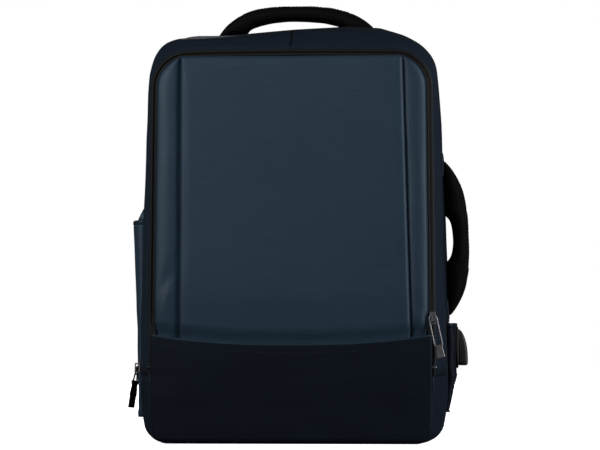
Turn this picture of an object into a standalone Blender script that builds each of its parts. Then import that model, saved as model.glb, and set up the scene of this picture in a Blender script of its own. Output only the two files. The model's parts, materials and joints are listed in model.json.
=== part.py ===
"""Travel backpack with a charging port, standing on its base.

Frame: metres, +Z up, the front faces -Y, +X is the bag's right-hand side as seen from the front.
The origin is the middle of the base, where the bag meets the surface that it stands on.

The bag is a back half with a boot round its foot, a front half that folds down about the boot's front
edge, and a front flap that folds down about the lower panel's hem.
"""

import math

import bmesh
import bpy
from mathutils import Matrix, Vector

# Driving dimensions
BODY_TOP = 0.4460  # highest line of the gusset
FOLD_Z = 0.0700  # the zips end here, and the front half folds here
HEM_Z = 0.1120  # top edge of the lower panel, where the front flap folds
SIDE_Z = 0.2200  # the height at which the sides start to draw in
WHOLE_FOOT = 0.0400  # where the back panel and the sleeve pass from the arch's line to the boot's
FRONT_TOP = 0.4152  # top of the front zip
CLOTH = 0.0025  # gusset: outer fabric, foam and lining
GAP = 0.0004  # clearance between neighbours that touch
ARC_STEPS = 6  # segments in a rounded corner

# Depth, front to back
Y_LOWER_FACE = -0.0800
Y_LOWER_BACK = -0.0764
Y_FLAP_FACE = -0.0720
Y_FLAP_BACK = -0.0680
Y_GUSSET_FRONT = -0.0660
Y_MAIN_ZIP = -0.0106
MAIN_TAPE = 0.0064
Y_BACK_PANEL = 0.0584
BACK_PANEL = 0.0070
Y_BACK_FACE = Y_BACK_PANEL + BACK_PANEL

FRONT_FOLD = Vector((0.0, Y_LOWER_FACE - 0.0003, FOLD_Z))
FLAP_FOLD = Vector((0.0, Y_LOWER_FACE - 0.0003, HEM_Z + GAP))

# Half widths and top heights of the arch at each depth: low, middle, top, height, corner radius
FRONT_ARCH = (0.1508, 0.1502, 0.1490, FRONT_TOP, 0.040)
GUSSET_STATIONS = (
    (Y_GUSSET_FRONT, FRONT_ARCH),
    (-0.0450, (0.1590, 0.1570, 0.1530, 0.4315, 0.046)),
    (Y_MAIN_ZIP - MAIN_TAPE - 2 * GAP, (0.1655, 0.1615, 0.1560, 0.4438, 0.050)),
)
MAIN_ARCH = (0.1660, 0.1620, 0.1565, 0.4450, 0.050)
REAR_STATIONS = (
    (Y_MAIN_ZIP + MAIN_TAPE + 2 * GAP, MAIN_ARCH),
    (0.0300, (0.1670, 0.1630, 0.1570, BODY_TOP, 0.050)),
    (Y_BACK_PANEL - GAP, (0.1600, 0.1570, 0.1500, 0.4395, 0.046)),
)
# Half width at the fold line, at the foot, and the foot's corner radius
BOOT_STATIONS = (
    (Y_LOWER_BACK + GAP, (0.1480, 0.1440, 0.014)),
    (Y_GUSSET_FRONT, (0.1508, 0.1460, 0.015)),
    (-0.0450, (0.1590, 0.1540, 0.017)),
    (Y_MAIN_ZIP, (0.1660, 0.1610, 0.019)),
    (0.0300, (0.1670, 0.1620, 0.019)),
    (Y_BACK_PANEL - GAP, (0.1600, 0.1550, 0.018)),
)

FABRIC = ("navy_fabric", (0.018, 0.030, 0.042), 0.42, 0.0)
DARK_FABRIC = ("dark_gusset_fabric", (0.010, 0.013, 0.020), 0.50, 0.0)
LINING = ("grey_lining", (0.055, 0.058, 0.064), 0.75, 0.0)
TAPE = ("black_zip_tape", (0.006, 0.006, 0.006), 0.55, 0.0)
WEBBING = ("black_webbing", (0.005, 0.005, 0.005), 0.80, 0.0)
MESH = ("black_air_mesh", (0.010, 0.010, 0.011), 0.90, 0.0)
METAL = ("gunmetal", (0.16, 0.16, 0.17), 0.30, 1.0)
STEEL = ("bright_steel", (0.60, 0.60, 0.62), 0.25, 1.0)
RUBBER = ("black_rubber", (0.012, 0.012, 0.013), 0.45, 0.0)
PLASTIC = ("black_plastic", (0.010, 0.010, 0.011), 0.35, 0.0)
CELL = ("cell_wrap", (0.05, 0.16, 0.24), 0.40, 0.0)
BOARD = ("green_board", (0.01, 0.09, 0.03), 0.50, 0.0)


def material(look):
    name, colour, roughness, metallic = look
    found = bpy.data.materials.get(name)
    if found:
        return found
    made = bpy.data.materials.new(name)
    made.use_nodes = True
    shader = made.node_tree.nodes["Principled BSDF"]
    shader.inputs["Base Color"].default_value = (*colour, 1.0)
    shader.inputs["Roughness"].default_value = roughness
    shader.inputs["Metallic"].default_value = metallic
    return made


def add_object(name, points, faces, look, smooth_degrees=35.0):
    """An object from points in world space, with its faces turned outwards."""
    mesh = bpy.data.meshes.new(name)
    mesh.from_pydata([tuple(p) for p in points], [], faces)
    shell = bmesh.new()
    shell.from_mesh(mesh)
    bmesh.ops.recalc_face_normals(shell, faces=shell.faces)
    shell.to_mesh(mesh)
    shell.free()
    mesh.shade_smooth()
    mesh.set_sharp_from_angle(angle=math.radians(smooth_degrees))
    obj = bpy.data.objects.new(name, mesh)
    obj.data.materials.append(material(look))
    bpy.context.scene.collection.objects.link(obj)
    return obj


def set_origin(obj, point):
    """Moves the object's origin to a point, such as its joint's axis, and leaves its shape where it is."""
    obj.data.transform(Matrix.Translation(-Vector(point)))
    obj.location = Vector(point)
    return obj


def bevel(obj, width, segments=2, degrees=40.0):
    modifier = obj.modifiers.new("Bevel", "BEVEL")
    modifier.width = width
    modifier.segments = segments
    modifier.limit_method = "ANGLE"
    modifier.angle_limit = math.radians(degrees)
    return obj


def cut(obj, cutter, operation="DIFFERENCE"):
    modifier = obj.modifiers.new("Boolean", "BOOLEAN")
    modifier.operation = operation
    modifier.object = cutter
    modifier.solver = "EXACT"
    cutter.hide_render = True
    cutter.display_type = "WIRE"
    return obj


def side_faces(rings, count):
    """Quads between one ring of points and the next."""
    faces = []
    for ring in range(rings - 1):
        for k in range(count):
            after = (k + 1) % count
            low, high = ring * count, (ring + 1) * count
            faces.append((low + k, low + after, high + after, high + k))
    return faces


def loft(name, loops, look, smooth_degrees=35.0):
    """A closed body through rings of points that all have the same length."""
    count = len(loops[0])
    points = [p for loop in loops for p in loop]
    faces = side_faces(len(loops), count)
    last = (len(loops) - 1) * count
    faces.append(tuple(range(count)))
    faces.append(tuple(range(last, last + count)))
    return add_object(name, points, faces, look, smooth_degrees)


def cup(name, outer, inner, look):
    """An open-topped pocket: its outer rings from the bottom up, and the rings of its inside."""
    count = len(outer[0])
    points = [p for loop in outer + inner for p in loop]
    faces = side_faces(len(outer), count)
    start = len(outer) * count
    faces += [tuple(start + k for k in face) for face in side_faces(len(inner), count)]
    top_out, top_in = start - count, start + (len(inner) - 1) * count
    for k in range(count):
        after = (k + 1) % count
        faces.append((top_out + k, top_out + after, top_in + after, top_in + k))
    faces.append(tuple(range(count)))
    faces.append(tuple(range(start, start + count)))
    return add_object(name, points, faces, look)


def box(name, low, high, look):
    (x0, y0, z0), (x1, y1, z1) = low, high
    loops = [[(x0, y0, z), (x1, y0, z), (x1, y1, z), (x0, y1, z)] for z in (z0, z1)]
    return loft(name, loops, look)


def prism(name, outline, y0, y1, look):
    """A plate with an outline of (x, z) points, from y0 to y1."""
    return loft(name, [[(x, y, z) for x, z in outline] for y in (y0, y1)], look)


def arc(centre_x, centre_z, radius, start, end, steps=ARC_STEPS):
    angles = [math.radians(start + (end - start) * k / steps) for k in range(steps + 1)]
    return [(centre_x + radius * math.cos(a), centre_z + radius * math.sin(a)) for a in angles]


def arch(sizes, inset=0.0, foot=FOLD_Z + GAP):
    """Points (x, z) from the left foot, up the side, over the top and down to the right foot."""
    low, middle, top, height, radius = sizes
    low, middle, top, height, radius = (size - inset for size in (low, middle, top, height, radius))
    left = [(-low, foot), (-middle, max(SIDE_Z, foot))]
    left += arc(-top + radius, height - radius, radius, 180, 90)
    return left + [(-x, z) for x, z in reversed(left)]


def boot(sizes, inset=0.0):
    """Points (x, z) from the left end of the fold line, down, under the bag and up to the right end."""
    at_fold, at_foot, radius = sizes
    at_fold, at_foot, radius = at_fold - inset, at_foot - inset, radius - inset
    left = [(-at_fold, FOLD_Z)] + arc(-at_foot + radius, radius + inset, radius, 180, 270)
    return left + [(-x, z) for x, z in reversed(left)]


def whole_outline(upper, lower, inset):
    """Points (x, z) right round a flat piece that fills the bag's section, from its left side."""
    sides = arch(upper, inset, foot=WHOLE_FOOT)
    under = [(x, z + inset) for x, z in boot(lower, inset)[1:-1]]
    return sides + [(x, z) for x, z in reversed(under)]


def band(name, stations, outline, thickness, look, outer=0.0, **foot):
    """A strip of cloth that follows an open outline, through stations along Y."""
    outside = [[(x, y, z) for x, z in outline(s, outer, **foot)] for y, s in stations]
    inside = [[(x, y, z) for x, z in outline(s, outer + thickness, **foot)] for y, s in stations]
    loops = [
        [line[k] for line in outside] + [line[k] for line in reversed(inside)]
        for k in range(len(outside[0]))
    ]
    return loft(name, loops, look)


def ribbon(name, path, width, thickness, look, across=(1.0, 0.0, 0.0)):
    """A flat strap along a path, with its width across the given direction."""
    across = Vector(across).normalized()
    loops = []
    for k, point in enumerate(path):
        before, after = Vector(path[max(k - 1, 0)]), Vector(path[min(k + 1, len(path) - 1)])
        out = (after - before).normalized().cross(across).normalized()
        half, rise = across * width / 2, out * thickness / 2
        near, far = Vector(point) - rise, Vector(point) + rise
        loops.append([near - half, near + half, far + half, far - half])
    return loft(name, loops, look)


def oval_tube(name, path, sections, look, across):
    """A tube whose section is an oval: sections holds (size across, size through) for each point."""
    across = Vector(across).normalized()
    sides = 10
    loops = []
    for k, point in enumerate(path):
        before, after = Vector(path[max(k - 1, 0)]), Vector(path[min(k + 1, len(path) - 1)])
        out = (after - before).normalized().cross(across).normalized()
        wide, thick = sections[k]
        ring = []
        for s in range(sides):
            angle = 2 * math.pi * s / sides
            reach = across * wide / 2 * math.cos(angle) + out * thick / 2 * math.sin(angle)
            ring.append(Vector(point) + reach)
        loops.append(ring)
    return loft(name, loops, look, smooth_degrees=60.0)


def cylinder(name, centre, axis, radius, length, look, sides=12):
    """A round bar along the x or the z axis."""
    loops = []
    for along in (-length / 2, length / 2):
        ring = []
        for k in range(sides):
            angle = 2 * math.pi * k / sides
            a, b = radius * math.cos(angle), radius * math.sin(angle)
            offset = (along, a, b) if axis == "x" else (a, b, along)
            ring.append(Vector(centre) + Vector(offset))
        loops.append(ring)
    return loft(name, loops, look)


# ---------------------------------------------------------------- shell: boot and back half


def side_half(z):
    """Half width of the rear gusset at its deepest station."""
    low, middle, top, height, radius = REAR_STATIONS[1][1]
    foot = BOOT_STATIONS[4][1][1]
    if z < FOLD_Z:
        return foot + (low - foot) * z / FOLD_Z
    if z < SIDE_Z:
        return low + (middle - low) * (z - FOLD_Z) / (SIDE_Z - FOLD_Z)
    return middle + (top - middle) * (z - SIDE_Z) / (height - radius - SIDE_Z)


def back_half():
    band("boot_gusset", BOOT_STATIONS, boot, CLOTH, DARK_FABRIC)
    prism("lower_panel", boot(BOOT_STATIONS[0][1]), Y_LOWER_FACE, Y_LOWER_BACK, FABRIC)
    band("rear_gusset", REAR_STATIONS, arch, CLOTH, DARK_FABRIC)
    outline = whole_outline(REAR_STATIONS[-1][1], BOOT_STATIONS[-1][1], 0.001)
    prism("back_panel", outline, Y_BACK_PANEL, Y_BACK_FACE, DARK_FABRIC)
    tape = ((Y_MAIN_ZIP + GAP, MAIN_ARCH), (Y_MAIN_ZIP + MAIN_TAPE + GAP, MAIN_ARCH))
    band("main_zip_tape_rear", tape, arch, 0.0016, TAPE, outer=0.0006)
    base_half, base_thick = 0.1150, 0.0020
    board_z = CLOTH + GAP
    board = box(
        "base_board",
        (-base_half, -0.0700, board_z),
        (base_half, 0.0530, board_z + base_thick),
        PLASTIC,
    )
    bevel(board, 0.0008, 1)


def back_padding():
    pad_face = Y_BACK_FACE + 0.0062
    for name, z0, z1, half in (
        ("back_pad_upper", 0.2850, 0.4020, 0.1250),
        ("back_pad_lower", 0.0480, 0.1720, 0.1050),
    ):
        corner = 0.016
        outline = arc(-half + corner, z0 + corner, corner, 270, 180, 4)
        outline += arc(-half + corner, z1 - corner, corner, 180, 90, 4)
        outline += [(-x, z) for x, z in reversed(outline)]
        bevel(prism(name, outline, Y_BACK_FACE + GAP, pad_face, MESH), 0.002, 1)
    luggage_band()


def luggage_band():
    """A loop across the back that slips over a suitcase's handle: flat, with its ends turned in."""
    half, leg, thick = 0.1240, 0.0040, 0.0016
    sewn = Y_BACK_FACE + GAP
    inner, z0, z1 = sewn + 0.0070, 0.1880, 0.2740
    outside = [(-half, sewn), (-half + leg, inner + thick), (half - leg, inner + thick), (half, sewn)]
    side = thick * 1.2
    inside = [(half - side, sewn), (half - leg - side, inner)]
    inside += [(-x, y) for x, y in reversed(inside)]
    loft("luggage_band", [[(x, y, z) for x, y in outside + inside] for z in (z0, z1)], DARK_FABRIC)


# ---------------------------------------------------------------- side pockets


def pocket_ring(side, z, reach, y0, y1, inset=0.0, corner=0.010):
    """The plan of a side pocket at one height: against the gusset, rounded at its two outer corners."""
    wall_x = side_half(z) + 0.0008 + inset
    out_x = side_half(z) + reach - inset
    corner = min(corner, (out_x - wall_x) * 0.7) - inset * 0.5
    ring = [(wall_x, y0 + inset)]
    ring += arc(out_x - corner, y0 + inset + corner, corner, 270, 360, 3)
    ring += arc(out_x - corner, y1 - inset - corner, corner, 0, 90, 3)
    ring += [(wall_x, y1 - inset)]
    return [(side * x, y, z) for x, y in ring]


def side_pocket(name, side, levels, y0, y1, wall=0.0014):
    """levels: (height, how far the pocket stands off the bag) from its floor to its mouth."""
    outer = [pocket_ring(side, z, reach, y0, y1) for z, reach in levels]
    floor = (levels[0][0] + wall, levels[0][1])
    inner = [pocket_ring(side, z, reach, y0, y1, wall) for z, reach in (floor, *levels[1:])]
    return cup(name, outer, inner, FABRIC)


def pocket_hem(name, side, z, reach, y0, y1, height=0.0050):
    """Bound edge of a pocket's mouth: a strip round its three outer sides, just above the cup."""
    loops = []
    z += GAP
    outside = pocket_ring(side, z, reach + 0.0006, y0 - 0.0006, y1 + 0.0006)
    inside = pocket_ring(side, z, reach, y0, y1, 0.0014)
    for a, b in zip(outside, inside):
        up = Vector((0, 0, height))
        loops.append([Vector(a), Vector(b), Vector(b) + up, Vector(a) + up])
    return loft(name, loops, WEBBING)


LEFT_POCKET = ((0.0300, 0.0050), (FOLD_Z, 0.0055), (0.1500, 0.0107), (0.2320, 0.0165))
RIGHT_POCKET = ((0.0300, 0.0055), (FOLD_Z, 0.0105), (0.1230, 0.0095))
POCKET_Y = (0.0000, 0.0520)


def side_pockets():
    y0, y1 = POCKET_Y
    side_pocket("left_side_pocket", -1, LEFT_POCKET, y0, y1)
    pocket_hem("left_pocket_hem", -1, *LEFT_POCKET[-1], y0, y1)
    pocket = side_pocket("right_side_pocket", 1, RIGHT_POCKET, y0, y1)
    pocket_hem("right_pocket_hem", 1, *RIGHT_POCKET[-1], y0, y1)
    return pocket


# ---------------------------------------------------------------- front half


def front_half():
    band("front_gusset", GUSSET_STATIONS, arch, CLOTH, FABRIC)
    tape = ((Y_MAIN_ZIP - MAIN_TAPE - GAP, MAIN_ARCH), (Y_MAIN_ZIP - GAP, MAIN_ARCH))
    band("main_zip_tape_front", tape, arch, 0.0016, TAPE, outer=0.0006)
    front_tape = ((Y_FLAP_BACK + 0.0002, FRONT_ARCH), (Y_GUSSET_FRONT - GAP, FRONT_ARCH))
    band("front_zip_tape_outer", front_tape, arch, 0.0034, TAPE)
    hem_half = 0.1470
    hem = box(
        "lower_panel_hem",
        (-hem_half, Y_LOWER_FACE, FOLD_Z + GAP),
        (hem_half, Y_FLAP_BACK - GAP, HEM_Z),
        FABRIC,
    )
    bevel(hem, 0.0008, 1)
    inside = CLOTH + 0.0006
    widest, floor_back, floor_thick = 0.1643, -0.0222, 0.0022
    floor_loops = []
    for y, sizes in GUSSET_STATIONS:
        half = min(sizes[0], widest) - inside
        y = min(y, floor_back)
        z0, z1 = FOLD_Z + GAP, FOLD_Z + GAP + floor_thick
        floor_loops.append([(-half, y, z0), (half, y, z0), (half, y, z1), (-half, y, z1)])
    loft("front_floor", floor_loops, LINING)
    divider_foot = FOLD_Z + 0.0032
    divider_arch = (0.1640, 0.1600, 0.1550, 0.4424, 0.049)
    prism("divider", arch(divider_arch, inside, foot=divider_foot), -0.0212, -0.0190, LINING)
    organizer = [(-0.1100, -0.0340), (0.1100, -0.0340), (0.1100, -0.0216), (-0.1100, -0.0216)]
    inner = [(-0.1086, -0.0326), (0.1086, -0.0326), (0.1086, -0.0230), (-0.1086, -0.0230)]
    z0, z1 = 0.0780, 0.2300
    cup(
        "organizer_pocket",
        [[(x, y, z) for x, y in organizer] for z in (z0, z1)],
        [[(x, y, z) for x, y in inner] for z in (z0 + 0.0014, z1)],
        LINING,
    )


CENTRE_LEFT, CENTRE_RIGHT_TOP, CENTRE_RIGHT_LOW = -0.1170, 0.1180, 0.1250
CENTRE_TOP = 0.4070


def front_flap():
    flap_foot = HEM_Z + 2 * GAP
    prism("front_panel", arch(FRONT_ARCH, 0.0074, foot=flap_foot), Y_FLAP_FACE, Y_FLAP_BACK, FABRIC)
    corner = 0.006
    outline = [
        (CENTRE_LEFT, flap_foot),
        (CENTRE_LEFT, CENTRE_TOP - corner),
        (CENTRE_LEFT + corner, CENTRE_TOP),
        (CENTRE_RIGHT_TOP - corner, CENTRE_TOP),
        (CENTRE_RIGHT_TOP, CENTRE_TOP - corner),
        (CENTRE_RIGHT_LOW, flap_foot),
    ]
    centre = prism("centre_panel", outline, Y_LOWER_FACE + 0.0008, Y_FLAP_FACE - GAP, FABRIC)
    bevel(centre, 0.0030, 2, degrees=60.0)
    tape = ((Y_FLAP_BACK + 0.0002, FRONT_ARCH), (Y_GUSSET_FRONT - GAP, FRONT_ARCH))
    band("front_zip_tape_inner", tape, arch, 0.0032, TAPE, outer=0.0038, foot=flap_foot)


# ---------------------------------------------------------------- zip sliders and pulls

SLIDER = (0.0062, 0.0115, 0.0026)  # width, length, thickness
PULL = (0.0078, 0.0440, 0.0016)  # width, length, thickness
BAIL_SPACE, BAIL_THICK = 0.0028, 0.0012  # room under the bail, and its own thickness
PIVOT_OUT = SLIDER[2] / 2 + BAIL_SPACE / 2  # from the middle of a slider's body to its pull's axis
FRONT_SLIDER = Vector((0.1477, Y_FLAP_BACK - GAP - SLIDER[2] / 2, 0.1325))
MAIN_SLIDER_Z = 0.0780
PULL_LEAN = 13.0
MAIN_PULL_LEAN = 8.0


def block(name, middle, axes, sizes, look):
    """A box with its own axes: three unit directions, and the size along each."""
    first, second, third = (axis * size / 2 for axis, size in zip(axes, sizes))
    corners = ((-1, -1), (1, -1), (1, 1), (-1, 1))
    loops = [[middle + third * end + first * a + second * b for a, b in corners] for end in (-1, 1)]
    return loft(name, loops, look)


def slider(name, centre, out, track):
    """A slider body with a bail: out points away from the tape, track runs along the zip."""
    thickness = SLIDER[2]
    out, track = Vector(out).normalized(), Vector(track).normalized()
    axes = (out.cross(track).normalized(), track, out)
    body = bevel(block(name, Vector(centre), axes, SLIDER, METAL), 0.0006, 1)
    rise = thickness / 2 + BAIL_SPACE
    for side in (-1, 1):
        middle = Vector(centre) + track * side * 0.0042 + out * rise / 2
        post = block(f"{name}_post{side}", middle, axes, (0.0018, 0.0016, rise + BAIL_THICK), METAL)
        cut(body, post, "UNION")
    middle = Vector(centre) + out * (rise + BAIL_THICK / 2)
    return cut(body, block(f"{name}_bridge", middle, axes, (0.0018, 0.0098, BAIL_THICK), METAL), "UNION")


def pull(name, pivot, out, down):
    """A frame pull that hangs on its top bar: a short window for the bail, a long one, and a narrow end."""
    width, length, thickness = PULL
    down = Vector(down).normalized()
    across = Vector(out).cross(down).normalized()
    axes = (across, down, across.cross(down))
    pivot = Vector(pivot)

    def plate(plate_name, start, end, wide, depth=0.01, shift=0.0):
        middle = pivot + down * (start + end) / 2 + across * shift
        return block(plate_name, middle, axes, (wide, end - start, depth), METAL)

    body = bevel(plate(name, -0.0008, length, width, thickness), 0.0004, 1)
    inner = width - 0.0030
    cut(body, plate(f"{name}_bail_window", 0.0007, 0.0064, inner))
    cut(body, plate(f"{name}_window", 0.0080, length - 0.0130, inner))
    for side in (-1, 1):
        notch = (length - 0.0092, length - 0.0070, 0.0030)
        cut(body, plate(f"{name}_notch{side}", *notch, shift=side * width / 2))
    return set_origin(body, pivot)


def zip_hardware():
    slider("front_zip_slider", FRONT_SLIDER, (0, -1, 0), (0, 0, 1))
    lean = math.radians(PULL_LEAN)
    pivot = FRONT_SLIDER + Vector((0, -PIVOT_OUT, 0))
    pull("front_zip_pull", pivot, (0, -1, 0), (math.sin(lean), 0, -math.cos(lean)))
    track = main_track()
    seat = main_seat()
    out = track.cross(Vector((0, 1, 0))).normalized()
    out = out if out.x < 0 else -out
    slider("main_zip_slider", seat, out, track)
    lean = math.radians(MAIN_PULL_LEAN)
    pull("main_zip_pull", seat + out * PIVOT_OUT, out, (-math.sin(lean), 0, -math.cos(lean)))


def main_track():
    """Direction up the main zip on the bag's left side."""
    low, middle = MAIN_ARCH[:2]
    return Vector((low - middle, 0, SIDE_Z - FOLD_Z)).normalized()


def main_seat():
    low, middle = MAIN_ARCH[:2]
    share = (MAIN_SLIDER_Z - FOLD_Z) / (SIDE_Z - FOLD_Z)
    return Vector((-(low + (middle - low) * share) - GAP - SLIDER[2] / 2, Y_MAIN_ZIP, MAIN_SLIDER_Z))


# ---------------------------------------------------------------- handles

TOP_SIZE, SIDE_SIZE = (0.1680, 0.0190), (0.1660, 0.0150)  # span between the feet, rise of the grip
GRIP = (0.0260, 0.0145)  # width, thickness
FOOT_GAP = 0.0044  # from the feet up to the line that the grip swings about
TOP_HANDLE = Vector((0.0015, 0.0220, 0.4514))
SIDE_HANDLE = Vector((0.1683, 0.0220, 0.2195))


def handle(name, foot_names, middle, along, up, size):
    """A padded grip that arches between two sewn feet."""
    along, up, across = Vector(along), Vector(up), Vector((0, 1, 0))
    span, height = size
    steps = 12
    path, sections = [], []
    for k in range(steps + 1):
        t = -1 + 2 * k / steps
        rise = height * (1 - abs(t) ** 3.2)
        path.append(middle + along * t * span / 2 + up * rise)
        from_end = min(k, steps - k)
        wide = min(1.0, 0.27 + 0.36 * from_end)
        thick = min(1.0, 0.22 + 0.30 * from_end)
        sections.append((GRIP[0] * wide, GRIP[1] * thick))
    grip = oval_tube(name, path, sections, WEBBING, across)
    set_origin(grip, middle)
    foot_length, foot_thick = 0.0280, 0.0016
    for side, foot_name in zip((-1, 1), foot_names):
        centre = middle + along * side * (span / 2 - 0.002) - up * FOOT_GAP
        start, end = centre - along * foot_length / 2, centre + along * foot_length / 2
        ribbon(foot_name, [start, end], GRIP[0], foot_thick, DARK_FABRIC, across)


def handles():
    top_feet = ("top_handle_foot_left", "top_handle_foot_right")
    handle("top_handle_grip", top_feet, TOP_HANDLE, (1, 0, 0), (0, 0, 1), TOP_SIZE)
    lean = Vector((side_half(0.1400) - side_half(0.2900), 0, -0.15)).normalized()
    side_feet = ("side_handle_foot_upper", "side_handle_foot_lower")
    handle("side_handle_grip", side_feet, SIDE_HANDLE, lean, (-lean.z, 0, lean.x), SIDE_SIZE)


# ---------------------------------------------------------------- shoulder straps

STRAP_TOP = Vector((0.0560, 0.0708, 0.4250))
LOCK = Vector((0.0880, 0.0990, 0.1500))
TAB_END = Vector((0.1265, 0.0706, 0.0360))


def strap_path(side):
    """Middle line of a shoulder strap, from the yoke to the ladder lock."""
    knots = (
        (0.0560, 0.0708, 0.4250),
        (0.0590, 0.0815, 0.4050),
        (0.0640, 0.0900, 0.3700),
        (0.0740, 0.0970, 0.3200),
        (0.0840, 0.1010, 0.2650),
        (0.0885, 0.1030, 0.2150),
        (0.0885, 0.1010, 0.1690),
    )
    return [(side * x, y, z) for x, y, z in knots]


def strap(side, prefix):
    """A padded strap with its ladder lock, and the tail that hangs from the lock over the lower webbing."""
    widths = (0.050, 0.054, 0.060, 0.062, 0.060, 0.052, 0.034)
    thick = (0.004, 0.008, 0.011, 0.011, 0.011, 0.010, 0.006)
    pad = oval_tube(f"{prefix}_shoulder_strap", strap_path(side), list(zip(widths, thick)), MESH, (1, 0, 0))
    set_origin(pad, (side * STRAP_TOP.x, STRAP_TOP.y, STRAP_TOP.z))
    lock = Vector((side * LOCK.x, LOCK.y, LOCK.z))
    half = Vector((0.0165, 0.0018, 0.0150))
    frame = bevel(box(f"{prefix}_ladder_lock", lock - half, lock + half, PLASTIC), 0.0008, 1)
    for z in (-0.0086, 0.0000, 0.0086):
        middle = lock + Vector((0, 0, z))
        window = Vector((0.0130, 0.0100, 0.0020))
        cut(frame, box(f"{prefix}_slot{z:+.4f}", middle - window, middle + window, PLASTIC))
    drops = ((0.0036, 0.0060), (0.0040, -0.0130), (0.0028, -0.0400), (-0.0010, -0.0720))
    tail = [lock + Vector((0, y, z)) for y, z in drops]
    ribbon(f"{prefix}_strap_tail", tail, 0.0240, 0.0015, WEBBING)


def lower_webbing(side, prefix):
    """Runs from the corner tab up behind the ladder lock, which slides along it."""
    knots = (
        (TAB_END.x - 0.0010, TAB_END.y + 0.0006, TAB_END.z + 0.0020),
        (0.1130, 0.0790, 0.0750),
        (0.0960, 0.0890, 0.1200),
        (0.0885, 0.0938, 0.1430),
        (0.0880, 0.0955, 0.1600),
    )
    path = [(side * x, y, z) for x, y, z in knots]
    piece = ribbon(f"{prefix}_lower_webbing", path, 0.0240, 0.0015, WEBBING)
    set_origin(piece, (side * TAB_END.x, TAB_END.y, TAB_END.z))


def corner_tab(side, prefix):
    """The folded fabric triangle, sewn to the back panel's corner, that holds the lower webbing."""
    y0 = Y_BACK_FACE + GAP
    outline = [(0.1460, 0.0300), (0.1340, 0.0330), (0.1120, 0.0330), (0.1160, 0.0180), (0.1380, 0.0180)]
    prism(f"{prefix}_corner_tab", [(side * x, z) for x, z in outline], y0, y0 + 0.0030, DARK_FABRIC)


def straps():
    for side, prefix in ((-1, "left"), (1, "right")):
        strap(side, prefix)
        lower_webbing(side, prefix)
        corner_tab(side, prefix)
    outline = [(-0.0900, 0.4110), (0.0900, 0.4110), (0.0860, 0.4330), (-0.0860, 0.4330)]
    prism("strap_yoke", outline, Y_BACK_FACE + GAP, Y_BACK_FACE + 0.0026, DARK_FABRIC)


# ---------------------------------------------------------------- charging port

PORT_Y, PORT_MOUTH_Z = 0.0300, 0.0800
PORT_RISE, PORT_REACH, PORT_DEPTH = 0.0400, 0.0120, 0.0240
SOCKET = (0.0059, 0.0133, 0.0120)  # outside X and Y, and length
LEAD_RADIUS = 0.0018
LEAD_Z = 0.1010


def port_wall_x():
    """The outer face of the right pocket where the port housing sits."""
    return side_half(0.1000) + RIGHT_POCKET[1][1] + 0.0014


def port(pocket):
    x0 = port_wall_x()
    low, high = PORT_MOUTH_Z, PORT_MOUTH_Z + PORT_RISE
    outline = [(x0, low), (x0 + PORT_REACH, low + 0.0004)]
    steps = 7
    for k in range(1, steps + 1):
        angle = math.radians(90 * k / steps)
        reach = PORT_REACH * math.cos(angle) + 0.0001
        outline.append((x0 + reach, low + 0.006 + (PORT_RISE - 0.006) * math.sin(angle)))
    outline[-1] = (x0, high)
    half = PORT_DEPTH / 2
    housing = prism("port_housing", outline, PORT_Y - half, PORT_Y + half, RUBBER)
    bevel(housing, 0.0012, 1, degrees=50.0)
    socket_x = x0 + 0.0062
    room = 0.0003
    sx, sy, length = SOCKET
    recess_low = (socket_x - sx / 2 - room, PORT_Y - sy / 2 - room, low - 0.01)
    recess_high = (socket_x + sx / 2 + room, PORT_Y + sy / 2 + room, low + length + room)
    cut(housing, box("port_recess", recess_low, recess_high, RUBBER))
    wall = 0.0004
    shell = box(
        "usb_shell",
        (socket_x - sx / 2, PORT_Y - sy / 2, low + 0.0002),
        (socket_x + sx / 2, PORT_Y + sy / 2, low + length),
        STEEL,
    )
    inside_low = (socket_x - sx / 2 + wall, PORT_Y - sy / 2 + wall, low - 0.01)
    inside_high = (socket_x + sx / 2 - wall, PORT_Y + sy / 2 - wall, low + length - wall)
    cut(shell, box("shell_inside", inside_low, inside_high, STEEL))
    tongue_x = socket_x - sx / 2 + wall + 0.0010
    box(
        "usb_tongue",
        (tongue_x, PORT_Y - 0.0054, low + 0.0052),
        (tongue_x + 0.0017, PORT_Y + 0.0054, low + length - wall - 0.0003),
        PLASTIC,
    )
    hole = LEAD_RADIUS + 0.0016
    reach = 0.0800
    middle = (socket_x + 0.0022 - reach / 2, PORT_Y, LEAD_Z)
    lead_hole = cylinder("lead_hole", middle, "x", hole, reach, RUBBER)
    cut(housing, lead_hole)
    rise = LEAD_Z - low - length + 0.0030
    middle = (socket_x, PORT_Y, LEAD_Z - rise / 2)
    cut(housing, cylinder("lead_drop", middle, "z", hole, rise, RUBBER))
    cut(pocket, lead_hole)
    cut(bpy.data.objects["rear_gusset"], lead_hole)


# ---------------------------------------------------------------- inside: sleeve, power bank and lead

BANK_LOW, BANK_HIGH = Vector((0.0720, 0.0170, 0.0950)), Vector((0.1400, 0.0310, 0.2200))


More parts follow.
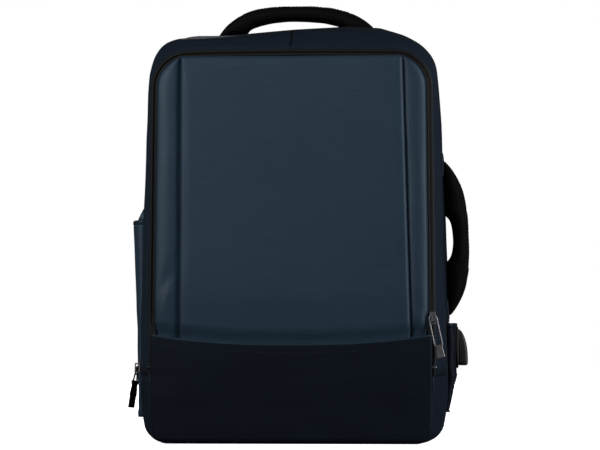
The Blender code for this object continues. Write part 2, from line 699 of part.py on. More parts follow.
def inside():
    sleeve = whole_outline((0.1600, 0.1590, 0.1560, 0.3250, 0.020), (0.1600, 0.1570, 0.0340), 0.0040)
    prism("laptop_sleeve", sleeve, 0.0360, 0.0400, LINING)
    margin = 0.0010
    (bx0, by0, bz0), (bx1, by1, bz1) = BANK_LOW, BANK_HIGH
    wall = 0.0012
    outer = [
        (bx0 - margin - wall, by0 - margin - wall),
        (bx1 + margin + wall, by0 - margin - wall),
        (bx1 + margin + wall, by1 + margin + wall),
        (bx0 - margin - wall, by1 + margin + wall),
    ]
    inner = [
        (bx0 - margin, by0 - margin),
        (bx1 + margin, by0 - margin),
        (bx1 + margin, by1 + margin),
        (bx0 - margin, by1 + margin),
    ]
    floor = bz0 - margin
    mouth = 0.1650
    cup(
        "bank_pocket",
        [[(x, y, z) for x, y in outer] for z in (floor - wall, mouth)],
        [[(x, y, z) for x, y in inner] for z in (floor, mouth)],
        LINING,
    )
    power_bank()


def half_shell(name, y0, y1, open_towards):
    """One half of the power bank's case, hollow towards the other half."""
    (x0, _, z0), (x1, _, z1) = BANK_LOW, BANK_HIGH
    wall = 0.0014
    shell = bevel(box(name, (x0, y0, z0), (x1, y1, z1), PLASTIC), 0.0020, 1, degrees=80.0)
    if open_towards > 0:
        y_low, y_high = y0 + wall, y1 + 0.01
    else:
        y_low, y_high = y0 - 0.01, y1 - wall
    cut(shell, box(f"{name}_room", (x0 + wall, y_low, z0 + wall), (x1 - wall, y_high, z1 - wall), PLASTIC))
    return shell


def power_bank():
    (x0, y0, z0), (x1, y1, z1) = BANK_LOW, BANK_HIGH
    middle_y = (y0 + y1) / 2
    front = half_shell("bank_case_front", y0, middle_y - GAP / 2, 1)
    back = half_shell("bank_case_back", middle_y + GAP / 2, y1, -1)
    cell_length, cell_depth = 0.0880, 0.0090
    for k, cx in enumerate((x0 + 0.0180, x1 - 0.0180)):
        low = (cx - 0.0145, middle_y - cell_depth / 2, z0 + 0.0040)
        high = (cx + 0.0145, middle_y + cell_depth / 2, z0 + 0.0040 + cell_length)
        bevel(box(f"battery_cell_{k + 1}", low, high, CELL), 0.0020, 1, degrees=60.0)
    board_low = (x0 + 0.0060, middle_y - 0.0008, z1 - 0.0280)
    board_high = (x1 - 0.0060, middle_y + 0.0008, z1 - 0.0030)
    box("charge_board", board_low, board_high, BOARD)
    button_x, button_z = x0 + 0.0150, z1 - 0.0160
    button = box(
        "power_button",
        (button_x - 0.0045, y0 - 0.0008, button_z - 0.0030),
        (button_x + 0.0045, y0 + 0.0022, button_z + 0.0030),
        METAL,
    )
    set_origin(bevel(button, 0.0005, 1), (button_x, y0, button_z))
    hole_low = (button_x - 0.0049, y0 - 0.01, button_z - 0.0034)
    hole_high = (button_x + 0.0049, y0 + 0.004, button_z + 0.0034)
    cut(front, box("button_hole", hole_low, hole_high, PLASTIC))
    plug_x = x1 - 0.0160
    plug_room_low = (plug_x - 0.0064, middle_y - 0.0030, z1 - 0.0022)
    plug_room_high = (plug_x + 0.0064, middle_y + 0.0030, z1 + 0.01)
    cut(front, box("plug_room_front", plug_room_low, plug_room_high, PLASTIC))
    cut(back, bpy.data.objects["plug_room_front"])
    box(
        "usb_plug",
        (plug_x - 0.0060, middle_y - 0.0026, z1 - 0.0020),
        (plug_x + 0.0060, middle_y + 0.0026, z1 + 0.0180),
        PLASTIC,
    )
    lead(Vector((plug_x, middle_y, z1 + 0.0180 + GAP)))


def lead(plug_end):
    """The charging lead, from the back of the socket, through the side and up to the plug."""
    x0 = port_wall_x()
    knots = (
        Vector((x0 + 0.0062, PORT_Y, PORT_MOUTH_Z + SOCKET[2] + GAP)),
        Vector((x0 + 0.0062, PORT_Y, LEAD_Z - 0.0034)),
        Vector((x0 + 0.0028, PORT_Y, LEAD_Z)),
        Vector((x0 - 0.0080, PORT_Y, LEAD_Z)),
        Vector((0.1620, PORT_Y, LEAD_Z + 0.0004)),
        Vector((0.1530, 0.0285, 0.1090)),
        Vector((0.1505, 0.0260, 0.1500)),
        Vector((0.1500, 0.0250, 0.2100)),
        Vector((0.1460, 0.0245, 0.2440)),
        Vector((0.1350, 0.0241, 0.2570)),
        Vector((0.1260, 0.0240, 0.2510)),
        plug_end + Vector((0, 0, 0.0060)),
        plug_end,
    )
    points = smooth_line(knots, 4)
    curve = bpy.data.curves.new("usb_lead", "CURVE")
    curve.dimensions = "3D"
    curve.bevel_depth = LEAD_RADIUS
    curve.bevel_resolution = 2
    curve.use_fill_caps = True
    spline = curve.splines.new("POLY")
    spline.points.add(len(points) - 1)
    for target, point in zip(spline.points, points):
        target.co = (*point, 1.0)
    obj = bpy.data.objects.new("usb_lead", curve)
    obj.data.materials.append(material(RUBBER))
    bpy.context.scene.collection.objects.link(obj)


def smooth_line(knots, steps):
    """Points on a Catmull-Rom curve through the knots."""
    points = []
    for k in range(len(knots) - 1):
        p0, p1 = knots[max(k - 1, 0)], knots[k]
        p2, p3 = knots[k + 1], knots[min(k + 2, len(knots) - 1)]
        for s in range(steps):
            t = s / steps
            points.append(
                0.5
                * (
                    2 * p1
                    + (p2 - p0) * t
                    + (2 * p0 - 5 * p1 + 4 * p2 - p3) * t**2
                    + (3 * p1 - p0 - 3 * p2 + p3) * t**3
                )
            )
    return [*points, knots[-1]]


def main():
    for obj in list(bpy.data.objects):
        bpy.data.objects.remove(obj)
    back_half()
    back_padding()
    pocket = side_pockets()
    front_half()
    front_flap()
    zip_hardware()
    handles()
    straps()
    port(pocket)
    inside()


main()
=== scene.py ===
"""Looks of the travel backpack: fabric shells, padding, webbing, zips, hardware, lights and camera."""

import json
import math

import bmesh
import bpy
import numpy as np
from mathutils import Matrix, Vector, noise
from mathutils.bvhtree import BVHTree

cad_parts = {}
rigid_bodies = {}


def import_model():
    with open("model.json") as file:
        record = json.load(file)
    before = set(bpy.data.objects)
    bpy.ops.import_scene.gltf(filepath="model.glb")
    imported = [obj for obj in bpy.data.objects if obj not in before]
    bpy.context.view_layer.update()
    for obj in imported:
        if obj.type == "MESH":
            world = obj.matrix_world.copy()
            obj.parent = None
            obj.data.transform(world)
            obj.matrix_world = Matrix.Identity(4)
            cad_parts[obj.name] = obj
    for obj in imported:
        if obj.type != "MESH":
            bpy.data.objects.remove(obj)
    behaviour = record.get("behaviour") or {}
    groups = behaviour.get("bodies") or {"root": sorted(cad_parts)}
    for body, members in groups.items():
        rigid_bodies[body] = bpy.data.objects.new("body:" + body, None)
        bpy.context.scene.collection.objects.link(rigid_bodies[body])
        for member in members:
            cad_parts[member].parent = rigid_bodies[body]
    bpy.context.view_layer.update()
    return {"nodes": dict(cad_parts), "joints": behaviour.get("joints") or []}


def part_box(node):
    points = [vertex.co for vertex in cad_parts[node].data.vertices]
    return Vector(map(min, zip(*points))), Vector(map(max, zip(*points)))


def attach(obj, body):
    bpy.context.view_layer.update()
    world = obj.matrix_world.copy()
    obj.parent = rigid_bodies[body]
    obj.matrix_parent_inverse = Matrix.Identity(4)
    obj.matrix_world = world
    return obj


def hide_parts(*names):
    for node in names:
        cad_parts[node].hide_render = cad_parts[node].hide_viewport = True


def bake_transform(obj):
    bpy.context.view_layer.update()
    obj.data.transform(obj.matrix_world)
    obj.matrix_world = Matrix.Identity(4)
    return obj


for startup_object in list(bpy.data.objects):
    bpy.data.objects.remove(startup_object)
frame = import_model()
NODES = frame["nodes"]
JOINTS = {joint["name"]: joint for joint in frame["joints"]}


def lerp(a, b, t):
    return a + (b - a) * t


def ease(t):
    t = min(1.0, max(0.0, t))
    return t * t * (3 - 2 * t)


# ---- places read from the frame


def low(node):
    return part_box(node)[0]


def high(node):
    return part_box(node)[1]


FOLD_Z = low("front_gusset").z  # the zips end here
HEM_Z = high("lower_panel_hem").z
Y_FRONT = low("front_gusset").y  # front edge of the gusset
Y_MAIN_FRONT = low("main_zip_tape_front").y
Y_MAIN_BACK = high("main_zip_tape_rear").y
Y_BACK = high("rear_gusset").y
Y_BACK_FACE = high("back_panel").y
FLAP_FACE = low("front_panel").y
TOP_Z = high("rear_gusset").z


def right_points(node, y):
    """A CAD gusset's points (x, z) at one depth, on the right-hand side."""
    near = [v.co for v in NODES[node].data.vertices if abs(v.co.y - y) < 0.0004]
    return [(p.x, p.z) for p in near if p.x > 0]


def arch_sizes(node, y):
    """[low, middle and top half widths, height, corner radius] of a CAD gusset at one depth."""
    points = right_points(node, y)
    height = max(z for _, z in points)
    foot = min(z for _, z in points)
    crown = max(x for x, z in points if height - z < 1e-4)
    sides = [(x, z) for x, z in points if x > crown + 0.02]
    corner = min(sides, key=lambda p: abs((p[0] - crown) - (height - p[1])))
    legs = [(x, z) for x, z in sides if foot + 0.03 < z < corner[1] - 0.03]
    base = max(x for x, z in points if z - foot < 1e-4)
    return [base, max(x for x, _ in legs), corner[0], height, height - corner[1]]


def boot_sizes(y):
    """[half width at the fold, half width at the foot, corner radius] of the CAD boot at one depth."""
    points = right_points("boot_gusset", y)
    at_fold = max(x for x, z in points if z > FOLD_Z - 0.002)
    flat = max(x for x, z in points if z < 1e-4)
    corner = min((p for p in points if p[0] > flat + 0.008), key=lambda p: abs((p[0] - flat) - p[1]))
    return [at_fold, corner[0], corner[1]]


def depths(node):
    """The depths at which a CAD gusset has its stations, front to back."""
    found = [round(v.co.y, 5) for v in NODES[node].data.vertices]
    return sorted({y for y in found if found.count(y) > 30})


ARCH = [(y, arch_sizes("front_gusset", y)) for y in depths("front_gusset")]
ARCH += [(y, arch_sizes("rear_gusset", y)) for y in depths("rear_gusset")]
BOOT = [(y, boot_sizes(y)) for y in depths("boot_gusset")]
SIDE_Z = FOLD_Z + 0.137  # the gusset's legs bend in above this height


def between(stations, y):
    """Sizes at any depth, on a smooth curve through the stations."""
    ys = [s[0] for s in stations]
    y = min(max(y, ys[0]), ys[-1])
    k = min(max(int(np.searchsorted(ys, y)) - 1, 0), len(ys) - 2)
    values = [np.array(s[1]) for s in stations]

    def slope(j):
        a, b = max(j - 1, 0), min(j + 1, len(ys) - 1)
        return (values[b] - values[a]) / (ys[b] - ys[a])

    span = ys[k + 1] - ys[k]
    t = (y - ys[k]) / span
    h00, h10 = 2 * t**3 - 3 * t**2 + 1, t**3 - 2 * t**2 + t
    h01, h11 = -2 * t**3 + 3 * t**2, t**3 - t**2
    return h00 * values[k] + h10 * span * slope(k) + h01 * values[k + 1] + h11 * span * slope(k + 1)


def smooth_line(knots, steps, closed=False):
    """Points on a Catmull-Rom curve through the knots."""
    knots = [np.array(k, float) for k in knots]
    count = len(knots)
    points = []
    for k in range(count if closed else count - 1):
        if closed:
            p0, p1, p2, p3 = (knots[(k + j) % count] for j in (-1, 0, 1, 2))
        else:
            p0, p1, p2, p3 = (knots[min(max(k + j, 0), count - 1)] for j in (-1, 0, 1, 2))
        for s in range(steps):
            t = s / steps
            cubic = (2 * p0 - 5 * p1 + 4 * p2 - p3) * t**2 + (3 * p1 - p0 - 3 * p2 + p3) * t**3
            points.append(0.5 * (2 * p1 + (p2 - p0) * t + cubic))
    return points if closed else [*points, knots[-1]]


def even_line(points, count):
    """The same line with its points evenly spaced."""
    points = np.array([list(p) for p in points], float)
    along = np.concatenate([[0], np.cumsum(np.linalg.norm(np.diff(points, axis=0), axis=1))])
    wanted = np.linspace(0, along[-1], count)
    return [Vector([np.interp(w, along, points[:, c]) for c in range(points.shape[1])]) for w in wanted]


CROWN_RISE = 0.0012  # how far the top line bulges in its middle
# How far the soft top edge of the standing bag lies above its pattern, across its width
SAG_X = (-0.156, -0.144, -0.132, -0.116, -0.100, -0.050, 0.000, 0.060, 0.094, 0.112, 0.130, 0.146, 0.156)
SAG_Z = (0.0030, 0.0010, -0.0030, -0.0068, -0.0076, -0.0040, 0, 0.0032, 0.0020, -0.0030, -0.0056, -0.0060, -0.0040)


def settle(x, y, z):
    """The top edge slumps to the left and stands higher on the right, more so towards the back."""
    share = max(0.0, (z - 0.36) / (TOP_Z - 0.36))
    depth = ease((y - Y_FRONT) / 0.048)
    return z + float(np.interp(x, SAG_X, SAG_Z)) * min(1.0, share) ** 1.5 * depth


def mirrored(right, middle):
    """A whole outline, from left to right, from its right-hand half and the points of its middle."""
    return [*right, *middle, *((-x, z) for x, z in reversed(right))][::-1]


def arch_line(y, foot=FOLD_Z, inset=0.0, leg=26, corner=12, across=30):
    """Points (x, z) of the gusset's outline at one depth, from the left foot over the top to the right foot."""
    base, middle, top, height, radius = between(ARCH, y)
    legs = smooth_line([(base, FOLD_Z), (middle, SIDE_Z), (top, height - radius)], 24)
    xs, zs = [p[0] for p in legs], [p[1] for p in legs]
    heights = [foot + (height - radius - foot) * k / leg for k in range(leg)]
    right = [(float(np.interp(z, zs, xs)) - inset, z) for z in heights]
    reach = radius - inset
    for k in range(corner + 1):
        angle = math.radians(90 * k / corner)
        right.append((top - radius + reach * math.cos(angle), height - radius + reach * math.sin(angle)))
    crown = right[-1][0]
    over = [crown * (1 - 2 * k / across) for k in range(1, across)]
    top_line = [(x, height - inset + CROWN_RISE * (1 - (x / crown) ** 2)) for x in over]
    return [(x, settle(x, y, z)) for x, z in mirrored(right, top_line)]


def boot_line(y, inset=0.0, leg=8, corner=8, under=30):
    """Points (x, z) of the boot's outline at one depth, from the left of the fold line under the bag."""
    at_fold, at_foot, radius = between(BOOT, y)
    right = []
    for k in range(leg):
        t = k / leg
        right.append((at_fold + (at_foot - at_fold) * t**1.5 - inset, FOLD_Z + (radius - FOLD_Z) * t))
    reach = radius - inset
    for k in range(corner + 1):
        angle = math.radians(90 * k / corner)
        right.append((at_foot - radius + reach * math.cos(angle), radius - reach * math.sin(angle)))
    end = right[-1][0]
    return mirrored(right, [(end * (1 - 2 * k / under), inset) for k in range(1, under)])


# ---- mesh tools


def link(mesh, name):
    obj = bpy.data.objects.new(name, mesh)
    bpy.context.scene.collection.objects.link(obj)
    return obj


def from_faces(name, points, faces, weld=True, smooth=True):
    mesh = bpy.data.meshes.new(name)
    mesh.from_pydata([tuple(p) for p in points], [], faces)
    shell = bmesh.new()
    shell.from_mesh(mesh)
    if weld:
        bmesh.ops.remove_doubles(shell, verts=shell.verts, dist=1e-6)
    bmesh.ops.recalc_face_normals(shell, faces=shell.faces)
    shell.to_mesh(mesh)
    shell.free()
    if smooth:
        mesh.shade_smooth()
    return link(mesh, name)


def sheet(name, rows, closed_rows=False, closed_columns=False, caps=False):
    """A surface through rows of points that all have the same length."""
    columns, faces = len(rows[0]), []
    for r in range(len(rows) if closed_columns else len(rows) - 1):
        nxt = (r + 1) % len(rows)
        for c in range(columns if closed_rows else columns - 1):
            d = (c + 1) % columns
            faces.append((r * columns + c, r * columns + d, nxt * columns + d, nxt * columns + c))
    if caps:
        last = (len(rows) - 1) * columns
        faces += [tuple(range(columns)), tuple(range(last, last + columns))]
    return from_faces(name, [p for row in rows for p in row], faces)


def loft(name, rings):
    """A closed body through closed rings, with its two ends filled."""
    return sheet(name, rings, closed_rows=True, caps=True)


def grid(steps_v, steps_u, point):
    """Rows of point(u, v), with u from -1 to 1 along a row and v from 0 to 1 over the rows."""
    us = [-1 + 2 * c / steps_u for c in range(steps_u + 1)]
    return [[point(u, r / steps_v) for u in us] for r in range(steps_v + 1)]


def signed_power(value, power):
    return math.copysign(abs(value) ** power, value)


def rounded_ring(middle, first, second, powers, count):
    """A ring of points round a middle. first and second are its half axes; low powers square its corners."""
    ring = []
    for k in range(count):
        angle = 2 * math.pi * (k + 0.5) / count
        u, v = signed_power(math.cos(angle), powers[0]), signed_power(math.sin(angle), powers[1])
        ring.append(middle + first * u + second * v)
    return ring


def edge_drop(distance, radius):
    """How far a rounded edge of this radius stands back, at a distance from its end."""
    if distance >= radius:
        return 0.0
    return radius - math.sqrt(max(0.0, radius**2 - (radius - distance) ** 2))


def freeze(obj):
    """Applies every modifier."""
    graph = bpy.context.evaluated_depsgraph_get()
    mesh = bpy.data.meshes.new_from_object(obj.evaluated_get(graph))
    obj.modifiers.clear()
    old = obj.data
    obj.data = mesh
    bpy.data.meshes.remove(old)
    mesh.name = obj.name
    mesh.shade_smooth()
    return obj


def thicken(obj, thickness, offset=-1.0):
    modifier = obj.modifiers.new("Solidify", "SOLIDIFY")
    modifier.thickness = thickness
    modifier.offset = offset
    modifier.use_even_offset = False
    return freeze(obj)


def face_forward(obj, direction=(0, -1, 0)):
    """Turns an open sheet's normals so that most face the given way."""
    mesh = obj.data
    if sum((p.normal * p.area for p in mesh.polygons), Vector()).dot(Vector(direction)) < 0:
        mesh.flip_normals()
    return obj


def face_outward(obj):
    """Turns an open band's normals away from the bag's middle."""
    mesh, middle = obj.data, Vector((0, 0, 0.22))
    outward = Vector((1, 0, 1))
    if sum(((p.center - middle) * outward).dot(p.normal) * p.area for p in mesh.polygons) < 0:
        mesh.flip_normals()
    return obj


def fabric(name, rows, thickness, facing=(0, -1, 0), offset=-1.0):
    """A thin shell through rows of points, whose outer face looks the given way, or out of the bag for None."""
    piece = sheet(name, rows)
    if facing:
        face_forward(piece, facing)
    else:
        face_outward(piece)
    return thicken(piece, thickness, offset)


def push(obj, amount):
    """Moves each point along its normal by amount(point)."""
    mesh = obj.data
    normals = [v.normal.copy() for v in mesh.vertices]
    for vertex, normal in zip(mesh.vertices, normals):
        vertex.co += normal * amount(vertex.co)
    mesh.update()
    return obj


def rumple(point, size, seed=0.0, stretch=(1, 1, 1)):
    """Smooth noise from -1 to 1, with features of about the given size in metres."""
    p = Vector((point[0] * stretch[0], point[1] * stretch[1], point[2] * stretch[2])) / size
    return noise.noise(p + Vector((seed, seed * 1.7, seed * 0.3)))


def bump_shape(value, middle, width):
    return math.exp(-(((value - middle) / width) ** 2))


def frames_along(path, across):
    """For each point of a path: the point, the direction across, and the direction out of the strap's face."""
    path, across = [Vector(p) for p in path], Vector(across)
    found = []
    for k, point in enumerate(path):
        along = (path[min(k + 1, len(path) - 1)] - path[max(k - 1, 0)]).normalized()
        side = (across - along * across.dot(along)).normalized()
        found.append((point, side, along.cross(side).normalized()))
    return found


def strap(name, path, width, thickness, across, round_off=0.5, sides=16):
    """A band along a path with a rounded-off section. Its sizes are numbers or functions of 0 to 1."""
    rings = []
    last = max(1, len(path) - 1)
    for k, (point, side, out) in enumerate(frames_along(path, across)):
        wide, thick = (size(k / last) if callable(size) else size for size in (width, thickness))
        rings.append(rounded_ring(point, side * wide / 2, out * thick / 2, (round_off, 0.8), sides))
    return loft(name, rings)


def closed_line(points):
    """A closed line: its first point again at its end."""
    return [*points, points[0]]


def tube(name, path, radius, sides=8, closed=False):
    """A round bead along a path."""
    path = [Vector(p) for p in path]
    count = len(path)
    rings = []
    normal = None
    if closed:
        centre = sum(path, Vector()) / count
        turns = ((path[k - 1] - centre).cross(path[k] - centre) for k in range(count))
        normal = sum(turns, Vector()).normalized()
    for k, point in enumerate(path):
        before = path[(k - 1) % count] if closed else path[max(k - 1, 0)]
        after = path[(k + 1) % count] if closed else path[min(k + 1, count - 1)]
        along = (after - before).normalized()
        if normal is None:
            normal = along.orthogonal().normalized()
        normal = (normal - along * normal.dot(along)).normalized()
        other = along.cross(normal)
        angles = [2 * math.pi * s / sides for s in range(sides)]
        rings.append([point + (normal * math.cos(a) + other * math.sin(a)) * radius for a in angles])
    if closed:
        return sheet(name, rings, closed_rows=True, closed_columns=True)
    return loft(name, rings)


def joined(name, objects):
    """Several meshes made one object."""
    data = bmesh.new()
    for obj in objects:
        data.from_mesh(obj.data)
        old = obj.data
        bpy.data.objects.remove(obj)
        bpy.data.meshes.remove(old)
    mesh = bpy.data.meshes.new(name)
    data.to_mesh(mesh)
    data.free()
    mesh.shade_smooth()
    return link(mesh, name)


def surface_of(obj):
    """A finder of points on a piece's mesh."""
    data = bmesh.new()
    data.from_mesh(obj.data)
    tree = BVHTree.FromBMesh(data)
    data.free()
    return tree


def stitches(name, body, path, tree, thread="thread", pitch=0.0034, length=0.0024, radius=0.00028):
    """A row of thread stitches along a path, sunk on the nearest point of a surface."""
    total = sum((Vector(b) - Vector(a)).length for a, b in zip(path, path[1:]))
    count = max(2, int(total / pitch))
    line = even_line(path, count * 2 + 1)
    points, faces = [], []
    for k in range(count):
        hits = [tree.find_nearest(p) for p in line[2 * k : 2 * k + 2]]
        start, end = (h[0] + h[1] * radius * 0.4 for h in hits)
        along = (end - start).normalized()
        if along.length < 0.5:
            continue
        middle = (start + end) / 2
        normal = along.orthogonal().normalized()
        other = along.cross(normal)
        base = len(points)
        for share, swell in ((-0.5, 0.35), (-0.32, 1.0), (0.32, 1.0), (0.5, 0.35)):
            centre = middle + along * length * share
            for s in range(5):
                a = 2 * math.pi * s / 5
                points.append(centre + (normal * math.cos(a) + other * math.sin(a)) * radius * swell)
        for r in range(3):
            for s in range(5):
                d = (s + 1) % 5
                low_ring, high_ring = base + r * 5, base + (r + 1) * 5
                faces.append((low_ring + s, low_ring + d, high_ring + d, high_ring + s))
        faces += [tuple(base + s for s in range(5)), tuple(base + 15 + s for s in range(5))]
    return place(from_faces(name, points, faces, weld=False), thread, body)


# ---- materials


class Shader:
    """A few helpers round one material's node tree."""

    def __init__(self, name):
        self.material = bpy.data.materials.new(name)
        self.material.use_nodes = True
        self.tree = self.material.node_tree
        self.main = self.tree.nodes["Principled BSDF"]
        self.place = self.tree.nodes.new("ShaderNodeTexCoord").outputs["Object"]

    def give(self, node, inputs):
        for key, value in inputs.items():
            if isinstance(value, bpy.types.NodeSocket):
                self.tree.links.new(value, node.inputs[key])
            else:
                node.inputs[key].default_value = value

    def add(self, kind, output, inputs, **settings):
        """A new node's output. inputs are values or other nodes' outputs."""
        node = self.tree.nodes.new(f"ShaderNode{kind}")
        for key, value in settings.items():
            setattr(node, key, value)
        self.give(node, inputs)
        return node.outputs[output]

    def noise(self, scale, detail=3.0, stretch=(1, 1, 1), roughness=0.55):
        vector = self.add("Mapping", "Vector", {"Scale": stretch, "Vector": self.place})
        inputs = {"Scale": scale, "Detail": detail, "Roughness": roughness, "Vector": vector}
        return self.add("TexNoise", "Fac", inputs)

    def ribs(self, axis, pitch, distortion=0.0):
        """Waves that repeat along X, Y or Z."""
        inputs = {"Scale": 0.314 / pitch, "Distortion": distortion, "Detail": 1.0, "Vector": self.place}
        return self.add("TexWave", "Fac", inputs, wave_type="BANDS", bands_direction=axis)

    def math(self, operation, a, b):
        return self.add("Math", 0, {0: a, 1: b}, operation=operation)

    def shades(self, factor, colour, darkest, lightest, between_factors=(0.35, 0.65)):
        """A colour that runs between two shares of itself."""
        output = self.add("ValToRGB", "Color", {"Fac": factor})
        stops = zip(output.node.color_ramp.elements, between_factors, (darkest, lightest))
        for element, position, share in stops:
            element.position = position
            element.color = (*scaled(colour, share), 1)
        return output

    def mixed(self, factor, a, b, blend="MIX"):
        return self.add("Mix", 2, {0: factor, 6: a, 7: b}, data_type="RGBA", blend_type=blend)

    def finished(self, colour, texture, roughness, bumps, specular=0.5, **values):
        """bumps: (height, depth in metres), the first one deepest. roughness: at the texture's 0 and 1."""
        spread = {"To Min": roughness[0], "To Max": roughness[1], "Value": texture}
        surface = {"Base Color": colour, "Roughness": self.add("MapRange", "Result", spread)}
        for height, depth in bumps:
            layer = {"Strength": 1.0, "Distance": depth, "Height": height}
            if "Normal" in surface:
                layer["Normal"] = surface["Normal"]
            surface["Normal"] = self.add("Bump", "Normal", layer)
        self.give(self.main, {**surface, "Specular IOR Level": specular, **values})
        return self.material


def scaled(colour, factor):
    return tuple(c * factor for c in colour)


WHITE = (1.0, 1.0, 1.0)
WIDE = (0.3, 0.7)


def navy_cloth(name, colour, roughness, specular):
    """Coated polyester: a very fine horizontal rib, uneven threads along it, and slow changes of shade."""
    s = Shader(name)
    ribs, threads = s.ribs("Z", 0.0006), s.noise(26.0, 3.0, (1.0, 1.0, 26.0), 0.7)
    weave = s.noise(1300.0, 2.0)
    base = s.shades(s.noise(9.0), colour, 0.94, 1.06, WIDE)
    for texture, dark, light in ((threads, 0.88, 1.12), (weave, 0.90, 1.10)):
        base = s.mixed(1.0, base, s.shades(texture, WHITE, dark, light, WIDE), "MULTIPLY")
    bumps = ((ribs, 0.00003), (threads, 0.00010), (weave, 0.00003), (s.noise(45.0, 2.0), 0.00030))
    gloss = {"Specular Tint": (0.70, 0.85, 1.0, 1.0)}
    return s.finished(base, s.noise(30.0, 3.0, (1.0, 1.0, 2.0)), roughness, bumps, specular, **gloss)


def tape_cloth(name, colour):
    """Zip tape: a tight flat weave with a chevron, nearly matt."""
    s = Shader(name)
    weave = s.noise(1900.0, 2.0)
    bumps = ((s.ribs("DIAGONAL", 0.0009, 0.4), 0.00006), (weave, 0.00005))
    return s.finished(s.shades(weave, colour, 0.7, 1.5), s.noise(200.0), (0.52, 0.70), bumps, 0.14)


def webbing_cloth(name, colour, across):
    """Woven webbing: ridges along its length, crossed by a finer weft."""
    s = Shader(name)
    ridges, weft = s.ribs(across, 0.0016, 0.3), s.noise(1300.0, 2.0)
    base = s.mixed(0.5, s.shades(ridges, colour, 0.5, 1.5), s.shades(weft, colour, 0.5, 1.8))
    return s.finished(base, weft, (0.55, 0.80), ((ridges, 0.00030), (weft, 0.00015)), 0.06)


def mesh_cloth(name, colour):
    """Spacer mesh: rows of small holes in a soft knit."""
    s = Shader(name)
    cells = s.add("TexVoronoi", "Distance", {"Scale": 330.0, "Vector": s.place}, feature="F1")
    bumps = ((s.math("SUBTRACT", 1.0, cells), 0.0010), (s.noise(1500.0, 2.0), 0.0001))
    base, sheen = s.shades(cells, colour, 1.3, 0.55, (0.25, 0.55)), {"Sheen Weight": 0.15}
    return s.finished(base, cells, (0.75, 0.95), bumps, 0.25, **sheen)


def lining_cloth(name, colour):
    """Thin woven lining with a small diamond pattern."""
    s = Shader(name)
    weave = s.noise(1400.0, 2.0)
    pattern = s.math("MULTIPLY", s.ribs("DIAGONAL", 0.0035), s.ribs("X", 0.0024))
    base = s.mixed(0.4, s.shades(pattern, colour, 0.8, 1.2), s.shades(weave, colour, 0.7, 1.3))
    return s.finished(base, weave, (0.60, 0.80), ((s.noise(45.0), 0.0006), (pattern, 0.00015)), 0.30)


def plated_metal(name, colour, roughness):
    """Plated zinc or steel: faint brushing."""
    s = Shader(name)
    brush = s.noise(700.0, 2.0, (6.0, 6.0, 0.6))
    base, spread = s.shades(brush, colour, 0.85, 1.15), (roughness - 0.06, roughness + 0.08)
    return s.finished(base, s.noise(90.0), spread, [(brush, 0.00002)], Metallic=1.0)


def moulded(name, colour, roughness, grain=0.00005, scale=900.0, specular=0.5):
    """Moulded rubber or plastic with a fine spark-eroded grain."""
    s = Shader(name)
    spread = (roughness - 0.05, roughness + 0.08)
    base = s.shades(s.noise(25.0), colour, 0.85, 1.2)
    return s.finished(base, s.noise(60.0), spread, [(s.noise(scale, 3.0), grain)], specular)


def circuit(name):
    """Solder mask over copper tracks."""
    s = Shader(name)
    tracks = s.math("GREATER_THAN", s.math("MULTIPLY", s.ribs("X", 0.0030), s.ribs("Z", 0.0042)), 0.45)
    base = s.mixed(tracks, (0.006, 0.075, 0.028, 1), (0.012, 0.14, 0.05, 1))
    return s.finished(base, s.noise(50.0), (0.30, 0.45), [(tracks, 0.00004)])


NAVY = (0.0150, 0.0285, 0.0445)
LOOKS = {
    "navy_fabric": (navy_cloth, NAVY, (0.36, 0.44), 0.16),
    "gusset_fabric": (navy_cloth, (0.0078, 0.0124, 0.0205), (0.40, 0.50), 0.12),
    # The navy painted 0.62 times as bright, as painted shade on the hem roll, a fold of the same navy; the left
    # pocket's binding uses it too.
    "hem_fabric": (navy_cloth, scaled(NAVY, 0.62), (0.38, 0.46), 0.14),
    # The navy painted about a quarter as bright, as painted shade on the lower panel, which faces down and is the
    # same navy; it is also the darker navy of the right pocket, the pocket piping and the back panel.
    "low_fabric": (navy_cloth, (0.0040, 0.0056, 0.0095), (0.45, 0.55), 0.08),
    "dark_fabric": (navy_cloth, (0.0055, 0.0085, 0.0150), (0.40, 0.52), 0.12),
    "lining": (lining_cloth, (0.055, 0.058, 0.064)),
    "zip_tape": (tape_cloth, (0.0040, 0.0038, 0.0036)),
    "webbing": (webbing_cloth, (0.0009, 0.0009, 0.0010), "Y"),
    "webbing_x": (webbing_cloth, (0.0022, 0.0022, 0.0023), "X"),
    "air_mesh": (mesh_cloth, (0.012, 0.012, 0.013)),
    "gunmetal": (plated_metal, (0.17, 0.17, 0.18), 0.40),
    "bright_steel": (plated_metal, (0.62, 0.62, 0.64), 0.24),
    "dark_metal": (moulded, (0.006, 0.006, 0.0065), 0.50, 0.00002, 900.0, 0.25),
    "rubber": (moulded, (0.0050, 0.0050, 0.0053), 0.42, 0.00005, 900.0, 0.30),
    "plastic": (moulded, (0.0090, 0.0090, 0.0095), 0.38),
    "cell": (moulded, (0.05, 0.16, 0.24), 0.35, 0.00008, 140.0),
    "circuit_board": (circuit,),
    "thread": (moulded, (0.0100, 0.0135, 0.0200), 0.60, 0.00004, 2500.0, 0.3),
    "black_thread": (moulded, (0.0060, 0.0060, 0.0060), 0.65, 0.00004, 2500.0, 0.3),
    "zip_coil": (moulded, (0.0030, 0.0030, 0.0031), 0.45, 0.00002, 900.0),
}
MADE = {}


def look(name):
    if name not in MADE:
        make, *values = LOOKS[name]
        MADE[name] = make(name, *values)
    return MADE[name]


def paint(obj, name):
    obj.data.materials.clear()
    obj.data.materials.append(look(name))
    return obj


def place(obj, name, body, *nodes):
    """Paints a finished piece, lets it ride on a body, and lets it stand for CAD nodes."""
    paint(obj, name)
    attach(obj, body)
    if nodes:
        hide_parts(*nodes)
    return obj


